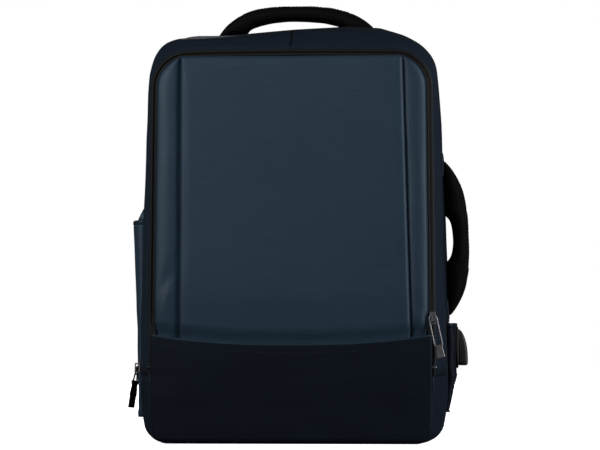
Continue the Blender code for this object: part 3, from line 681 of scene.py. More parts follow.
def bend(obj, name, bodies, start_z, end_z, *nodes, y=0.0):
    """Paints a finished piece, bakes its transform into its mesh, and lets it stand for CAD nodes. bodies is read
    but not used; start_z, end_z and y are not used.
    """
    paint(obj, name)
    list(bodies)
    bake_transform(obj)
    if nodes:
        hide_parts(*nodes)
    return obj


def repaint(node, name, bevel=0.0):
    """Gives a CAD node that is right as it is its finished material."""
    obj = NODES[node]
    obj.data.materials.clear()
    obj.data.materials.append(look(name))
    if bevel:
        modifier = obj.modifiers.new("Bevel", "BEVEL")
        modifier.width = bevel
        modifier.segments = 2
        modifier.limit_method = "ANGLE"
        modifier.angle_limit = math.radians(50)


# ---- simulation

CLOTH = {
    "quality": 6,
    "mass": 0.15,
    "tension_stiffness": 25,
    "compression_stiffness": 25,
    "shear_stiffness": 15,
    "bending_stiffness": 4.0,
    "use_pressure": True,
    "vertex_group_mass": "pin",
}


def inflate(obj, pinned, pressure, cap, frames=14):
    """Blows a closed pad up with Cloth, holds the points where pinned(co) is true, and caps the others' way."""
    start = [v.co.copy() for v in obj.data.vertices]
    group = obj.vertex_groups.new(name="pin")
    group.add([v.index for v in obj.data.vertices if pinned(v.co)], 1.0, "REPLACE")
    modifier = obj.modifiers.new("Cloth", "CLOTH")
    cloth = modifier.settings
    for key, value in CLOTH.items():
        setattr(cloth, key, value)
    cloth.uniform_pressure_force = pressure
    cloth.effector_weights.gravity = 0
    modifier.collision_settings.use_self_collision = False
    scene = bpy.context.scene
    scene.frame_start, scene.frame_end = 1, frames
    modifier.point_cache.frame_start, modifier.point_cache.frame_end = 1, frames
    for number in range(1, frames + 1):
        scene.frame_set(number)
    freeze(obj)
    scene.frame_set(1)
    obj.vertex_groups.clear()
    for vertex, rest in zip(obj.data.vertices, start):
        moved = vertex.co - rest
        if moved.length > cap:
            vertex.co = rest + moved.normalized() * cap
    obj.data.update()
    return obj


# ---- front: flap, pad, lower panel


def half_at(line, z):
    """Half width of an outline at a height, on its right-hand side."""
    right = sorted((q, x) for x, q in line if x > 0)
    return float(np.interp(z, [q for q, _ in right], [x for _, x in right]))


TAPE_WIDE = high("front_zip_tape_outer").x - high("front_panel").x  # both halves of the front zip
PAD_LEFT, PAD_RIGHT = low("centre_panel").x, high("centre_panel").x
PAD_TOP = high("centre_panel").z
HEM_DIP = 0.0100  # how far the hem sags in the middle
HEM_END_Z = HEM_Z + 0.0022
PANEL_HALF = high("lower_panel_hem").x
LEAN = 0.0095  # how far the lower panel's foot stands back from its hem
FLAP_FOLD = (("front_half", "front_flap"), HEM_Z - 0.016, HEM_Z + 0.012)


def hem_z(x):
    """Height of the lower panel's sagging hem."""
    return HEM_END_Z - HEM_DIP * (1 - min(1.0, abs(x) / PANEL_HALF) ** 2.4)


def tuck(x, z):
    """How far the flap turns in behind the lower panel's hem."""
    above = z - hem_z(x)
    return 0.0025 * ease(1 - above / 0.055) + 0.0045 * ease(1 - above / 0.016)


def pad_edges(z):
    """Left and right edges of the raised pad at a height."""
    t = (z - HEM_Z) / (PAD_TOP - HEM_Z)
    return PAD_LEFT - 0.0002 * (1 - t), lerp(PAD_RIGHT, PAD_RIGHT - 0.0075, min(1.0, max(0.0, t)))


def flap_y(x, z, half):
    """Depth of the flap: flat behind the pad, and a soft strip that swells between the pad and the zip."""
    left, right = pad_edges(z)
    edge = right if x > 0 else -left
    across = (abs(x) - edge) / max(0.004, half - edge)
    y = FLAP_FACE + 0.0012 + tuck(x, z)
    if not 0 < across <= 1:
        return y
    swell = math.sin(math.pi * across)
    y -= 0.0042 * math.sin(math.pi * across**0.8) ** 0.8 + 0.0006 * rumple((x, 0, z), 0.030, 3.0, (2.0, 1, 0.5))
    if x < 0:
        slant = z - 0.155 - (x + 0.130) * 1.6
        return y + (0.0014 * bump_shape(slant, 0.018, 0.012) - 0.0007 * bump_shape(slant, 0, 0.014)) * swell
    return y - 0.0012 * bump_shape(z - 0.128 + (x - 0.135) * 1.4, 0, 0.008) * swell


def flap_sheet():
    inset = TAPE_WIDE - 0.0006
    outline = arch_line(Y_FRONT, foot=HEM_Z - 0.02, inset=inset, leg=40, corner=20, across=4)
    foot, ceiling = HEM_Z - 0.0190, between(ARCH, Y_FRONT)[3] - inset

    def point(u, v):
        z = foot + (ceiling - foot) * (1 - (1 - v) ** 1.35)
        half = half_at(outline, z)
        x = signed_power(u, 0.75) * half
        return x, flap_y(x, z, half), z

    bend(fabric("flap_strips", grid(110, 96, point), 0.0018), "navy_fabric", *FLAP_FOLD, "front_panel")


def pillow(name, edges, z0, z1, y_back, y_face, edge_width, corner, steps_x, steps_z):
    """A flat pad with rounded-over edges: a face and a back that meet at the rim.
    edges(z) gives the left and right edge. corner is the radius of its four corners in plan."""

    def spread(t):
        return 0.5 - 0.5 * signed_power(math.cos(math.pi * t), 0.8)

    def point(u, v, face):
        z = lerp(z0, z1, spread(v))
        left, right = edges(z)
        pull_in = edge_drop(min(z - z0, z1 - z), corner)
        x = lerp(left + pull_in, right - pull_in, spread(u))
        from_edge = min(x - left - pull_in, right - pull_in - x, z - z0, z1 - z)
        t = min(1.0, max(0.0, from_edge) / edge_width)
        lift = (1 - (1 - t) ** 2.4) ** (1 / 2.4)
        return x, lerp(y_back, y_face, lift) if face else y_back, z

    columns = steps_x + 1
    shift = (steps_z + 1) * columns
    us, vs = [c / steps_x for c in range(columns)], [r / steps_z for r in range(steps_z + 1)]
    points = [point(u, v, face) for face in (True, False) for v in vs for u in us]
    faces = []
    for r in range(steps_z):
        for a in range(r * columns, r * columns + steps_x):
            faces.append((a, a + 1, a + columns + 1, a + columns))
            faces.append((shift + a, shift + a + columns, shift + a + columns + 1, shift + a + 1))
    return from_faces(name, points, faces)


def centre_pad():
    y_back = low("front_panel").y - 0.0004
    y_face = low("centre_panel").y + 0.0016
    foot, top = HEM_Z - 0.0180, PAD_TOP + 0.0010
    pad = pillow("centre_pad", pad_edges, foot, top, y_back, y_face, 0.0050, 0.0040, 84, 110)
    inflate(pad, lambda p: p.y > y_back - 0.0012, 0.7, 0.0008)
    push(pad, lambda p: 0.00035 * rumple(p, 0.060, 5.0, (1.6, 1, 0.7)) if p.y < y_back - 0.002 else 0.0)
    for vertex in pad.data.vertices:
        vertex.co.y += tuck(vertex.co.x, vertex.co.z)
    bend(pad, "navy_fabric", *FLAP_FOLD, "centre_panel")


def panel_y(x, z):
    """Depth of the lower panel's face: proud at the hem, falling back towards its foot."""
    top = hem_z(x)
    y = low("lower_panel").y - 0.0010 + LEAN * max(0.0, (top - z) / top) ** 1.25
    return y + 0.0020 * ease((abs(x) - 0.11) / 0.04) + edge_drop(z, 0.0060)


def lower_panel():
    """The panel below the hem, with the hem turned over its top edge."""
    at_foot = between(BOOT, Y_FRONT)[1]

    def point(u, v):
        v, u = v**1.25, signed_power(u, 0.8)
        z = v * (hem_z(u * PANEL_HALF) - 0.0016)
        x = u * (lerp(at_foot, PANEL_HALF, ease(z / FOLD_Z)) - edge_drop(z, 0.016))
        wave = 0.0011 * rumple((x, 0, z), 0.055, 9.0, (1.0, 1, 1.7)) * math.sin(math.pi * min(1.0, v * 1.05))
        return x, panel_y(x, z) - wave, z

    rows = grid(64, 90, point)
    top, fold = rows[-1], 0.0020
    for k in range(1, 6):
        angle = math.radians(180 * k / 5)
        lift, back = fold * math.sin(angle), fold * (1 - math.cos(angle))
        rows.append([(x, y + back, z + lift) for x, y, z in top])
    rows.append([(x, y + 2 * fold + 0.0002, z - 0.012) for x, y, z in top])
    panel = fabric("lower_panel_shell", rows, 0.0012)
    bodies = ("bag_body", "front_half")
    # The lower panel is the same navy as the flap, painted darker as painted shade.
    bend(panel, "low_fabric", bodies, FOLD_Z - 0.016, FOLD_Z + 0.010, "lower_panel", "lower_panel_hem")
    edge = np.linspace(-PANEL_HALF + 0.0012, PANEL_HALF - 0.0012, 100)
    rolled = [Vector((x, panel_y(x, hem_z(x)) + 0.0008, hem_z(x) - 0.0010)) for x in edge]
    # The hem roll is a fold of the same navy, painted darker as painted shade.
    place(strap("hem_roll", rolled, 0.0028, 0.0024, (0, 0.35, 1), 0.9, 14), "hem_fabric", "front_half")
    below = [(x, hem_z(x) - 0.0090) for x in np.linspace(-0.1445, 0.1445, 90)]
    path = [(x, panel_y(x, z) - 0.004, z) for x, z in below]
    stitches("hem_stitches", "front_half", path, surface_of(panel), "black_thread", 0.0030, 0.0020, 0.00018)


# ---- gussets and boot


def band_rows(y0, y1, steps, swell):
    """Rows of points of a gusset between two depths. It stands out by swell(share across, x, z)."""
    rows = []
    for k in range(steps + 1):
        s = k / steps
        y = lerp(y0, y1, s)
        line = arch_line(y)
        row = []
        for j, (x, z) in enumerate(line):
            a, b = line[max(j - 1, 0)], line[min(j + 1, len(line) - 1)]
            tangent = Vector((b[0] - a[0], 0, b[1] - a[1])).normalized()
            row.append(Vector((x, y, z)) + Vector((-tangent.z, 0, tangent.x)) * swell(s, x, z))
        rows.append(row)
    return rows


def front_gusset():
    def swell(s, x, z):
        dome = 0.0022 * (1 - 0.8 * ease((z - 0.37) / 0.05))
        fold = 0.0012 * rumple((x, s * 0.05, z), 0.040, 12.0, (1, 1.6, 1))
        seam = 0.0012 * (bump_shape(s, 0.0, 0.05) + bump_shape(s, 1.0, 0.05))
        return ((dome + fold) * math.sin(math.pi * s) - seam) * ease((z - FOLD_Z) / 0.03)

    rows = band_rows(Y_FRONT + 0.0002, Y_MAIN_FRONT - 0.0002, 16, swell)
    gusset = fabric("front_gusset_shell", rows, 0.0020, None)
    bodies = ("bag_body", "front_half")
    return bend(gusset, "gusset_fabric", bodies, FOLD_Z + 0.001, FOLD_Z + 0.040, "front_gusset")


def rear_gusset():
    def swell(s, x, z):
        dome = 0.0020 * (1 - 0.9 * ease((z - 0.37) / 0.05))
        fold = 0.0012 * rumple((x, s * 0.06, z), 0.050, 22.0, (1, 1.4, 1)) * (1 - 0.6 * ease((z - 0.40) / 0.04))
        seam = 0.0010 * bump_shape(s, 0, 0.05)
        return ((dome + fold) * math.sin(math.pi * s) - seam) * ease((z - FOLD_Z) / 0.03)

    rows = band_rows(Y_MAIN_BACK + 0.0002, Y_BACK + 0.0002, 18, swell)
    return place(fabric("rear_gusset_shell", rows, 0.0020, None), "dark_fabric", "bag_body", "rear_gusset")


def boot():
    """The fabric round the bag's foot, from the lower panel's edge to the back."""
    steps = 30
    rows = []
    for k in range(steps + 1):
        s = k / steps
        row = []
        for j, (_, z) in enumerate(boot_line(lerp(Y_FRONT, Y_BACK, s))):
            at_front = panel_y(PANEL_HALF * 0.97, max(z, 0.004)) + 0.0012
            y = lerp(at_front, Y_BACK + 0.0002, s)
            x, z = boot_line(y)[j]
            soft = math.sin(math.pi * s) * ease(z / 0.03) * ease((FOLD_Z - z) / 0.025)
            out = 0.0014 * soft * (1 + rumple((x, y, z), 0.045, 31.0))
            row.append((x + math.copysign(out, x) * ease(abs(x) / 0.13), y, max(z, 0.0)))
        rows.append(row)
    place(fabric("boot_shell", rows, 0.0020, None), "dark_fabric", "bag_body", "boot_gusset")


# ---- zips


def tape_band(name, section, middle_y, foot):
    """One half of a zip's tape along the arch, through a closed section of (depth, inset)."""
    rows = []
    for y, inset in section:
        line = arch_line(middle_y, foot=foot, inset=inset, leg=60, corner=20, across=60)
        rows.append([(x, y, z) for x, z in line])
    return sheet(name, rows, closed_columns=True)


def front_tape(name, inset0, inset1, foot):
    """On the front zip the tape's width lies in the front plane."""
    y0, y1 = low("front_zip_tape_outer").y, high("front_zip_tape_outer").y
    middle = (y0 - 0.0003, lerp(inset0, inset1, 0.5))
    return tape_band(name, [(y1, inset0), (y0, inset0), middle, (y0, inset1), (y1, inset1)], Y_FRONT, foot)


def main_tape(name, y0, y1):
    """On the main zip the tape's width runs front to back."""
    out, deep, middle = -0.0002, 0.0014, lerp(y0, y1, 0.5)
    section = [(y0, deep), (y0, out), (middle, out - 0.0002), (y1, out), (y1, deep)]
    return tape_band(name, section, middle, FOLD_Z)


def coil(name, body, y, inset, foot, in_front_plane):
    """The zip's coil: a small loop of monofilament at each pitch along the tape's edge."""
    pitch = 0.0026
    line = arch_line(Y_FRONT if in_front_plane else y, foot=foot, inset=inset, leg=80, corner=24, across=80)
    path = even_line([Vector((x, y, z)) for x, z in line], int(0.95 / pitch))
    depth = Vector((0, 1, 0))
    points, faces = [], []
    for k in range(1, len(path) - 1):
        along = (path[k + 1] - path[k - 1]).normalized()
        inward = along.cross(depth).normalized()
        across, out = (inward, depth) if in_front_plane else (depth, inward)
        base = len(points)
        for a, b in ((-1, -1), (1, -1), (1, 1), (-1, 1)):
            for c in (-1, 1):
                points.append(path[k] + along * a * pitch * 0.28 + out * b * 0.00045 + across * c * 0.0011)
        for n in range(0, 8, 2):
            m = (n + 2) % 8
            faces.append((base + n, base + m, base + m + 1, base + n + 1))
        faces += [tuple(range(base, base + 8, 2)), tuple(range(base + 1, base + 8, 2))]
    place(from_faces(name, points, faces, weld=False, smooth=False), "zip_coil", body)


def zips():
    split, gap = 0.0036, 0.0002
    coil_y = high("front_zip_tape_outer").y + 0.0006
    folds = ("bag_body", "front_half")
    outer = front_tape("front_zip_tape_left_half", 0.0002, split, FOLD_Z)
    bend(outer, "zip_tape", folds, FOLD_Z, FOLD_Z + 0.02, "front_zip_tape_outer")
    inner = front_tape("front_zip_tape_flap_half", split + 0.0003, TAPE_WIDE + 0.0004, HEM_Z - 0.004)
    bend(inner, "zip_tape", FLAP_FOLD[0], HEM_Z - 0.006, HEM_Z + 0.012, "front_zip_tape_inner")
    coil("front_zip_coil_outer", "front_half", coil_y, split - 0.0009, FOLD_Z + 0.012, True)
    coil("front_zip_coil_inner", "front_flap", coil_y, split + 0.0014, HEM_Z + 0.004, True)
    middle = lerp(Y_MAIN_FRONT, Y_MAIN_BACK, 0.5)
    front = main_tape("main_zip_tape_front_half", Y_MAIN_FRONT, middle - gap)
    bend(front, "zip_tape", folds, FOLD_Z, FOLD_Z + 0.040, "main_zip_tape_front")
    rear = main_tape("main_zip_tape_rear_half", middle + gap, Y_MAIN_BACK)
    place(rear, "zip_tape", "bag_body", "main_zip_tape_rear")
    coil("main_zip_coil_front", "front_half", middle - 0.0013, 0.0020, FOLD_Z + 0.045, False)
    coil("main_zip_coil_rear", "bag_body", middle + 0.0013, 0.0020, FOLD_Z + 0.012, False)


def gusset_seams(front, rear):
    """Rows of stitches along the seams beside the zips, and the seam across the top of the front gusset."""
    front_tree, rear_tree = surface_of(front), surface_of(rear)
    rows = (
        ("front_gusset_stitches_front", Y_FRONT + 0.0032, front_tree, "front_half", FOLD_Z + 0.042),
        ("front_gusset_stitches_rear", Y_MAIN_FRONT - 0.0030, front_tree, "front_half", FOLD_Z + 0.042),
        ("rear_gusset_stitches", Y_MAIN_BACK + 0.0030, rear_tree, "bag_body", FOLD_Z + 0.004),
        ("rear_gusset_stitches_back", Y_BACK - 0.0040, rear_tree, "bag_body", FOLD_Z + 0.004),
    )
    for name, y, tree, body, foot in rows:
        line = arch_line(y, foot=foot, inset=-0.0030, leg=30, corner=14, across=30)
        stitches(name, body, [(x, y, z) for x, z in line], tree)
    depths_down = [lerp(Y_FRONT + 0.004, Y_FRONT + 0.044, k / 29) for k in range(30)]
    path = [front_tree.ray_cast(Vector((-0.001, y, 0.5)), Vector((0, 0, -1)))[0] for y in depths_down]
    place(tube("front_gusset_top_seam", path, 0.0007, 8), "webbing_x", "front_half")


# ---- handles

DEPTH = Vector((0, 1, 0))


def handle(name, body, up, rise, gap, share, sags=False):
    """A padded webbing grip on two feet, with a row of stitches along each edge."""
    node, joint = f"{body}_grip", JOINTS[f"{body}_swing"]
    middle, along, up = Vector(joint["pos_m"]), Vector(joint["axis"]).normalized(), Vector(up).normalized()
    size = high(node) - low(node)
    wide, span = size.y, max(size.x, size.z)

    def outer(t):
        return (rise + 0.0076) * (1 - abs(t) ** 3.0) + 0.0006

    def inner(t):
        return gap * max(0.0, 1 - (abs(t) / share) ** 2) ** 0.6 - 0.0030

    path = []
    for k in range(61):
        t = -1 + 2 * k / 60
        point = middle + along * signed_power(t, 0.96) * span / 2 + up * (outer(t) + inner(t)) / 2
        if sags:
            point.z += (settle(*point) - point.z) * abs(t) ** 4
        path.append(point)

    def width(t):
        return wide * (0.86 + 0.14 * ease(min(t, 1 - t) * 7))

    def thickness(t):
        return max(0.0036, outer(2 * t - 1) - inner(2 * t - 1))

    grip = strap(name, path, width, thickness, DEPTH, 0.62, 28)
    push(grip, lambda p: 0.0004 * rumple(p, 0.012, 4.0))
    paint(grip, "webbing")
    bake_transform(grip)
    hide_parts(node)
    tree = surface_of(grip)
    for side, edge in ((-1, "front"), (1, "back")):
        line = [p + DEPTH * side * wide * 0.36 + up * 0.02 for p in path[8:-8]]
        stitches(f"{name}_stitches_{edge}", body, line, tree, "black_thread", 0.0040, 0.0029, 0.0003)


def handle_feet(body, ends, up, sags=False):
    """Sewn tabs: fabric folded over the webbing's ends, with a box of stitches."""
    along, up = Vector(JOINTS[f"{body}_swing"]["axis"]).normalized(), Vector(up).normalized()
    span = 0.0300
    for node in (f"{body}_foot_{end}" for end in ends):
        a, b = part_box(node)
        centre, wide = (a + b) / 2, (b - a).y
        path = [centre + along * span * (k / 12 - 0.5) + up * 0.0004 for k in range(13)]
        if sags:
            path = [Vector((p.x, p.y, settle(*p))) for p in path]
            centre.z = settle(*centre)

        def thickness(t):
            return 0.0020 + 0.0040 * math.sin(math.pi * t) ** 0.7

        tab = strap(f"{node}_tab", path, wide + 0.001, thickness, DEPTH, 0.4, 20)
        place(tab, "dark_fabric", "bag_body", node)
        half, deep = along * (span / 2 - 0.003), DEPTH * (wide / 2 - 0.003)
        corners = [centre + half * i + deep * j + up * 0.004 for i, j in ((-1, -1), (1, -1), (1, 1), (-1, 1))]
        stitches(f"{node}_stitches", "bag_body", closed_line(corners), surface_of(tab))


def handles():
    top_up = (0, 0, 1)
    rise = high("top_handle_grip").z - JOINTS["top_handle_swing"]["pos_m"][2] - 0.0073
    handle("top_handle_pad", "top_handle", top_up, rise, 0.0142, 0.70, sags=True)
    handle_feet("top_handle", ("left", "right"), top_up, sags=True)
    axis = JOINTS["side_handle_swing"]["axis"]
    side_up = (-axis[2], 0, axis[0])
    handle("side_handle_pad", "side_handle", side_up, 0.0150, 0.0090, 0.34)
    handle_feet("side_handle", ("upper", "lower"), side_up)


# ---- side pockets


def side_x(y, z):
    """Where the gusset's right-hand surface is."""
    if z < FOLD_Z:
        at_fold, at_foot, radius = between(BOOT, y)
        return lerp(at_foot, at_fold, (z / FOLD_Z) ** 0.7)
    return half_at([(x, q) for x, q in arch_line(y) if x > 0.05], z)


def levels_of(node, side):
    """[(height, outermost x)] of a CAD side pocket, from its floor to its mouth."""
    found = {}
    for vertex in NODES[node].data.vertices:
        z = round(vertex.co.z, 4)
        found[z] = max(found.get(z, 0.0), vertex.co.x * side)
    return [(z, x) for z, x in sorted(found.items()) if x > max(found.values()) - 0.016]


def pocket(name, side):
    """A slip pocket: a soft shell that stands off the gusset, with a bound, gathered mouth.
    The left one's mouth runs up towards the back, and its floor hangs lower."""
    node, left = f"{name}_side_pocket", side < 0
    a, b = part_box(node)
    z0, z1 = (a.z - 0.0060, b.z + 0.0040) if left else (a.z, b.z)
    out_top = -a.x if left else b.x
    heights, reaches = zip(*((z, out - side_x((a.y + b.y) / 2, z)) for z, out in levels_of(node, side)))

    def point(s, v):
        y = lerp(a.y, b.y, (s + 1) / 2)
        shape = (1 - abs(s) ** 5) ** (1 / 2.6)
        z = lerp(z0, z1 + (0.0110 * (1 - shape) if left and s > 0 else 0), v)
        reach = float(np.interp(z, heights, reaches))
        reach += 0.0030 * ease((0.060 - z) / 0.03) if left else 0.0022 * ease((z - 0.085) / 0.02)
        gather = 0.0006 * math.sin(s * 26) * v**3
        fold = 0.0009 * rumple((0, y, z), 0.030, 40.0 + side) * shape
        x = side_x(y, z) + 0.0006 + (reach - 0.0006) * shape + fold + gather
        return side * min(x, out_top + 0.003), y, z

    rows = grid(44, 40, point)
    shell = fabric(f"{node}_shell", rows, 0.0012, (side, 0, 0))
    # The right pocket's shell is painted in the darker navy that is painted shade on the lower panel.
    place(shell, "navy_fabric" if left else "low_fabric", "bag_body", node)
    mouth = [Vector(p) + Vector((-side * 0.0006, 0, 0.0010)) for p in rows[-1]]
    binding = strap(f"{name}_pocket_hem_binding", mouth, 0.0048, 0.0026, (0, 0, 1), 0.6, 14)
    # The left pocket's binding is painted in the dimmed navy that is painted shade on the hem roll.
    place(binding, "hem_fabric" if left else "dark_fabric", "bag_body", f"{name}_pocket_hem")
    lower = [p + Vector((side * 0.004, 0, -0.0052)) for p in mouth[2:-2]]
    stitches(f"{node}_stitches", "bag_body", lower, surface_of(shell))
    seam = [Vector(row[-2]) + Vector((side * 0.001, 0, 0)) for row in rows[1:-1]]
    place(tube(f"{node}_piping", even_line(seam, 40), 0.0009, 8), "low_fabric", "bag_body")


def pocket_bellows():
    """The gathered cloth behind the left pocket's mouth, which runs up to the bag's side."""
    a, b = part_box("left_side_pocket")

    def point(u, v):
        z = lerp(b.z, b.z + 0.0330, v)
        y = b.y - 0.004 - 0.006 * math.sin(math.pi * v)
        inner, outer = side_x(y, z) - 0.0010, lerp(-a.x + 0.0010, side_x(0.03, z), v**1.5)
        s = (u + 1) / 2
        return -lerp(inner, outer, s), y + 0.0022 * math.sin(math.pi * s) * math.cos(v * 9), z

    place(fabric("left_pocket_bellows", grid(16, 10, point), 0.0012), "navy_fabric", "bag_body")


# ---- back


def back_outline(inset):
    """The whole outline of the back: the arch's legs and top, then under the boot."""
    return arch_line(Y_BACK, inset=inset) + boot_line(Y_BACK, inset=inset)[-2:0:-1]


def slab(name, outline, y0, y1, edge, crown, rings=10):
    """A flat padded piece with a rounded-over edge. crown: how far its first and second faces swell."""
    outline = even_line(closed_line(outline), 150)[:-1]
    middle = sum(outline, Vector((0, 0))) / len(outline)
    size = max((p - middle).length for p in outline)

    def ring(share, y):
        return [(middle.x + (p.x - middle.x) * share, y, middle.y + (p.y - middle.y) * share) for p in outline]

    shares = [k / rings for k in range(rings)]
    loops = [ring(max(s, 0.001) * (1 - edge / size), y0 - crown[0] * (1 - s**2)) for s in shares]
    for k in range(9):
        angle = math.radians(180 * k / 8)
        loops.append(ring(1 - edge / size * (1 - math.sin(angle)), y0 + (y1 - y0) * (1 - math.cos(angle)) / 2))
    loops += [ring(max(s, 0.001) * (1 - edge / size), y1 + crown[1] * (1 - s**2)) for s in reversed(shares)]
    return loft(name, loops)


def back_panel():
    panel = slab("back_panel_shell", back_outline(0.0012), low("back_panel").y, Y_BACK_FACE, 0.0035, (0, 0), 12)
    push(panel, lambda p: 0.0007 * rumple(p, 0.05, 51.0) if p.y > Y_BACK_FACE - 0.002 else 0.0)
    place(panel, "low_fabric", "bag_body", "back_panel")
    path = [Vector((x, Y_BACK + 0.0012, z)) for x, z in back_outline(-0.0003)]
    piping = tube("back_piping", even_line(closed_line(path), 260)[:-1], 0.0020, 10, closed=True)
    place(piping, "webbing", "bag_body")


def back_pad(node):
    a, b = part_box(node)
    half, base = b.x, a.y
    face = b.y + 0.0010
    pad = pillow(f"{node}_cushion", lambda z: (-half, half), a.z, b.z, base, face, 0.0100, 0.016, 70, 50)
    channels = [lerp(a.z, b.z, t) for t in (0.34, 0.67)]
    inflate(pad, lambda p: p.y < base + 0.0008, 2.0, 0.0030)
    for co in (vertex.co for vertex in pad.data.vertices if vertex.co.y > base + 0.001):
        dip = sum(bump_shape(co.z, z, 0.0045) for z in channels) * ease((half - abs(co.x)) / 0.02)
        co.y -= min(0.0034, co.y - base - 0.0008) * min(1.0, dip)
    pad.data.update()
    place(pad, "air_mesh", "bag_body", node)
    tree = surface_of(pad)
    for k, z in enumerate(channels):
        line = [(x, b.y + 0.01, z) for x in np.linspace(-half + 0.012, half - 0.012, 40)]
        stitches(f"{node}_channel_stitches_{k + 1}", "bag_body", line, tree, "black_thread")


def luggage_band():
    a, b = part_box("luggage_band")
    half = b.x
    right = [(half / 2, b.y - 0.0006), (half - 0.006, b.y - 0.0012), (half, a.y + 0.0008)]
    knots = [*((-x, y) for x, y in reversed(right)), (0, b.y - 0.0002), *right]
    path = [Vector((x, y, (a.z + b.z) / 2)) for x, y in smooth_line(knots, 12)]
    band = strap("luggage_band_cloth", path, b.z - a.z, 0.0018, (0, 0, 1), 0.25, 40)
    push(band, lambda p: 0.0006 * rumple(p, 0.04, 61.0))
    place(band, "dark_fabric", "bag_body", "luggage_band")
    tree = surface_of(band)
    for k, z in enumerate((a.z + 0.004, b.z - 0.004)):
        line = [(p.x, p.y + 0.004, z) for p in path[8:-8]]
        stitches(f"luggage_band_stitches_{k + 1}", "bag_body", line, tree)


def rim_of(points, middle):
    """A flat piece's points in order round a middle."""
    return sorted(points, key=lambda p: math.atan2(p[1] - middle[1], p[0] - middle[0]))


def yoke_and_tabs():
    a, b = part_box("strap_yoke")
    outline = even_line(closed_line([(a.x + 0.004, a.z), (b.x - 0.004, a.z), (b.x, b.z), (a.x, b.z)]), 80)[:-1]
    yoke = slab("strap_yoke_cloth", outline, a.y, b.y + 0.0010, 0.0015, (0, 0.0004), 6)
    tree = surface_of(place(yoke, "dark_fabric", "bag_body", "strap_yoke"))
    for k, z in enumerate((a.z + 0.004, b.z - 0.005)):
        line = [(x, b.y + 0.005, z) for x in np.linspace(a.x + 0.010, b.x - 0.010, 40)]
        stitches(f"yoke_stitches_{k + 1}", "bag_body", line, tree)
    for node in ("left_corner_tab", "right_corner_tab"):
        a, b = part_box(node)
        rim = sorted({(round(v.co.x, 5), round(v.co.z, 5)) for v in NODES[node].data.vertices})
        middle = [sum(values) / len(rim) for values in zip(*rim)]
        tab = slab(f"{node}_cloth", rim_of(rim, middle), a.y, b.y, 0.0012, (0, 0.0004), 6)
        place(tab, "dark_fabric", "bag_body", node)


# ---- shoulder straps


def rings_of(node, count):
    """Middle points of a CAD ribbon's rings of points, from its lowest ring up."""
    corners = sorted({tuple(round(c, 5) for c in v.co) for v in NODES[node].data.vertices}, key=lambda p: p[2])
    rings = [corners[k : k + count] for k in range(0, len(corners) - count + 1, count)]
    return [sum((Vector(p) for p in ring), Vector()) / count for ring in rings]


def strap_line(node):
    """Middle line of a CAD strap, from its rings of points."""
    count = 10
    co = [v.co.copy() for v in NODES[node].data.vertices]
    unique = []
    for p in sorted(co, key=lambda p: -p.z):
        if not any((p - q).length < 1e-5 for q in unique):
            unique.append(p)
    rings = [unique[k : k + count] for k in range(0, len(unique) - count + 1, count)]
    return [sum(ring, Vector()) / len(ring) for ring in rings]


def end_share(t):
    """0 at a strap's two ends, 1 along the rest of it."""
    return ease(min(t * 6, (1 - t) * 9))


def shoulder_strap(prefix, seed):
    body, node = f"{prefix}_strap", f"{prefix}_shoulder_strap"
    path = even_line(smooth_line(strap_line(node), 12), 72)
    widths = [0.050, 0.056, 0.061, 0.062, 0.060, 0.052, 0.034]
    across = Vector((1, 0, 0))

    def width(t):
        return float(np.interp(t * 6, range(7), widths))

    def thickness(t):
        return 0.0045 + 0.0058 * end_share(t)

    def binding_width(t):
        return 0.0024 + 0.0030 * end_share(t)

    pad = strap(f"{node}_pad", path, width, thickness, across, 0.45, 36)
    push(pad, lambda p: 0.0005 * rumple(p, 0.03, seed))
    place(pad, "air_mesh", body, node)
    frames = frames_along(path, across)
    last = len(frames) - 1
    face = []
    for k, (point, side, out) in enumerate(frames):
        t = k / last
        out = out if out.y > 0 else -out
        half, lift = width(t) / 2 - 0.0035, thickness(t) / 2 + 0.0004
        us = [-1 + 2 * c / 14 for c in range(15)]
        face.append([point + side * u * half + out * (lift - thickness(t) * 0.07 * abs(u) ** 3) for u in us])
    cover = fabric(f"{node}_cover", face, 0.0010, (0, 1, 0))
    tree = surface_of(place(cover, "dark_fabric", body))
    for name, sign in (("outer", 1), ("inner", -1)):
        edge = [p + a * sign * (width(k / last) / 2 - 0.0006) for k, (p, a, _) in enumerate(frames)]
        binding = strap(f"{node}_binding_{name}", edge, binding_width, 0.0030, DEPTH, 0.8, 12)
        place(binding, "webbing", body)
        line = [row[7 + sign * 6] + Vector((0, 0.004, 0)) for row in face[3:-3]]
        stitches(f"{node}_stitches_{name}", body, line, tree)
    k = int(len(path) * 0.40)
    wide = width(k / last) * 0.92
    shares = [t / 12 for t in range(13)]
    line = [path[k] + Vector((wide * (t - 0.5), 0.0070 + 0.0010 * math.sin(math.pi * t), 0)) for t in shares]
    place(strap(f"{prefix}_strap_keeper", line, 0.0150, 0.0014, (0, 0, 1), 0.35, 20), "webbing", body)


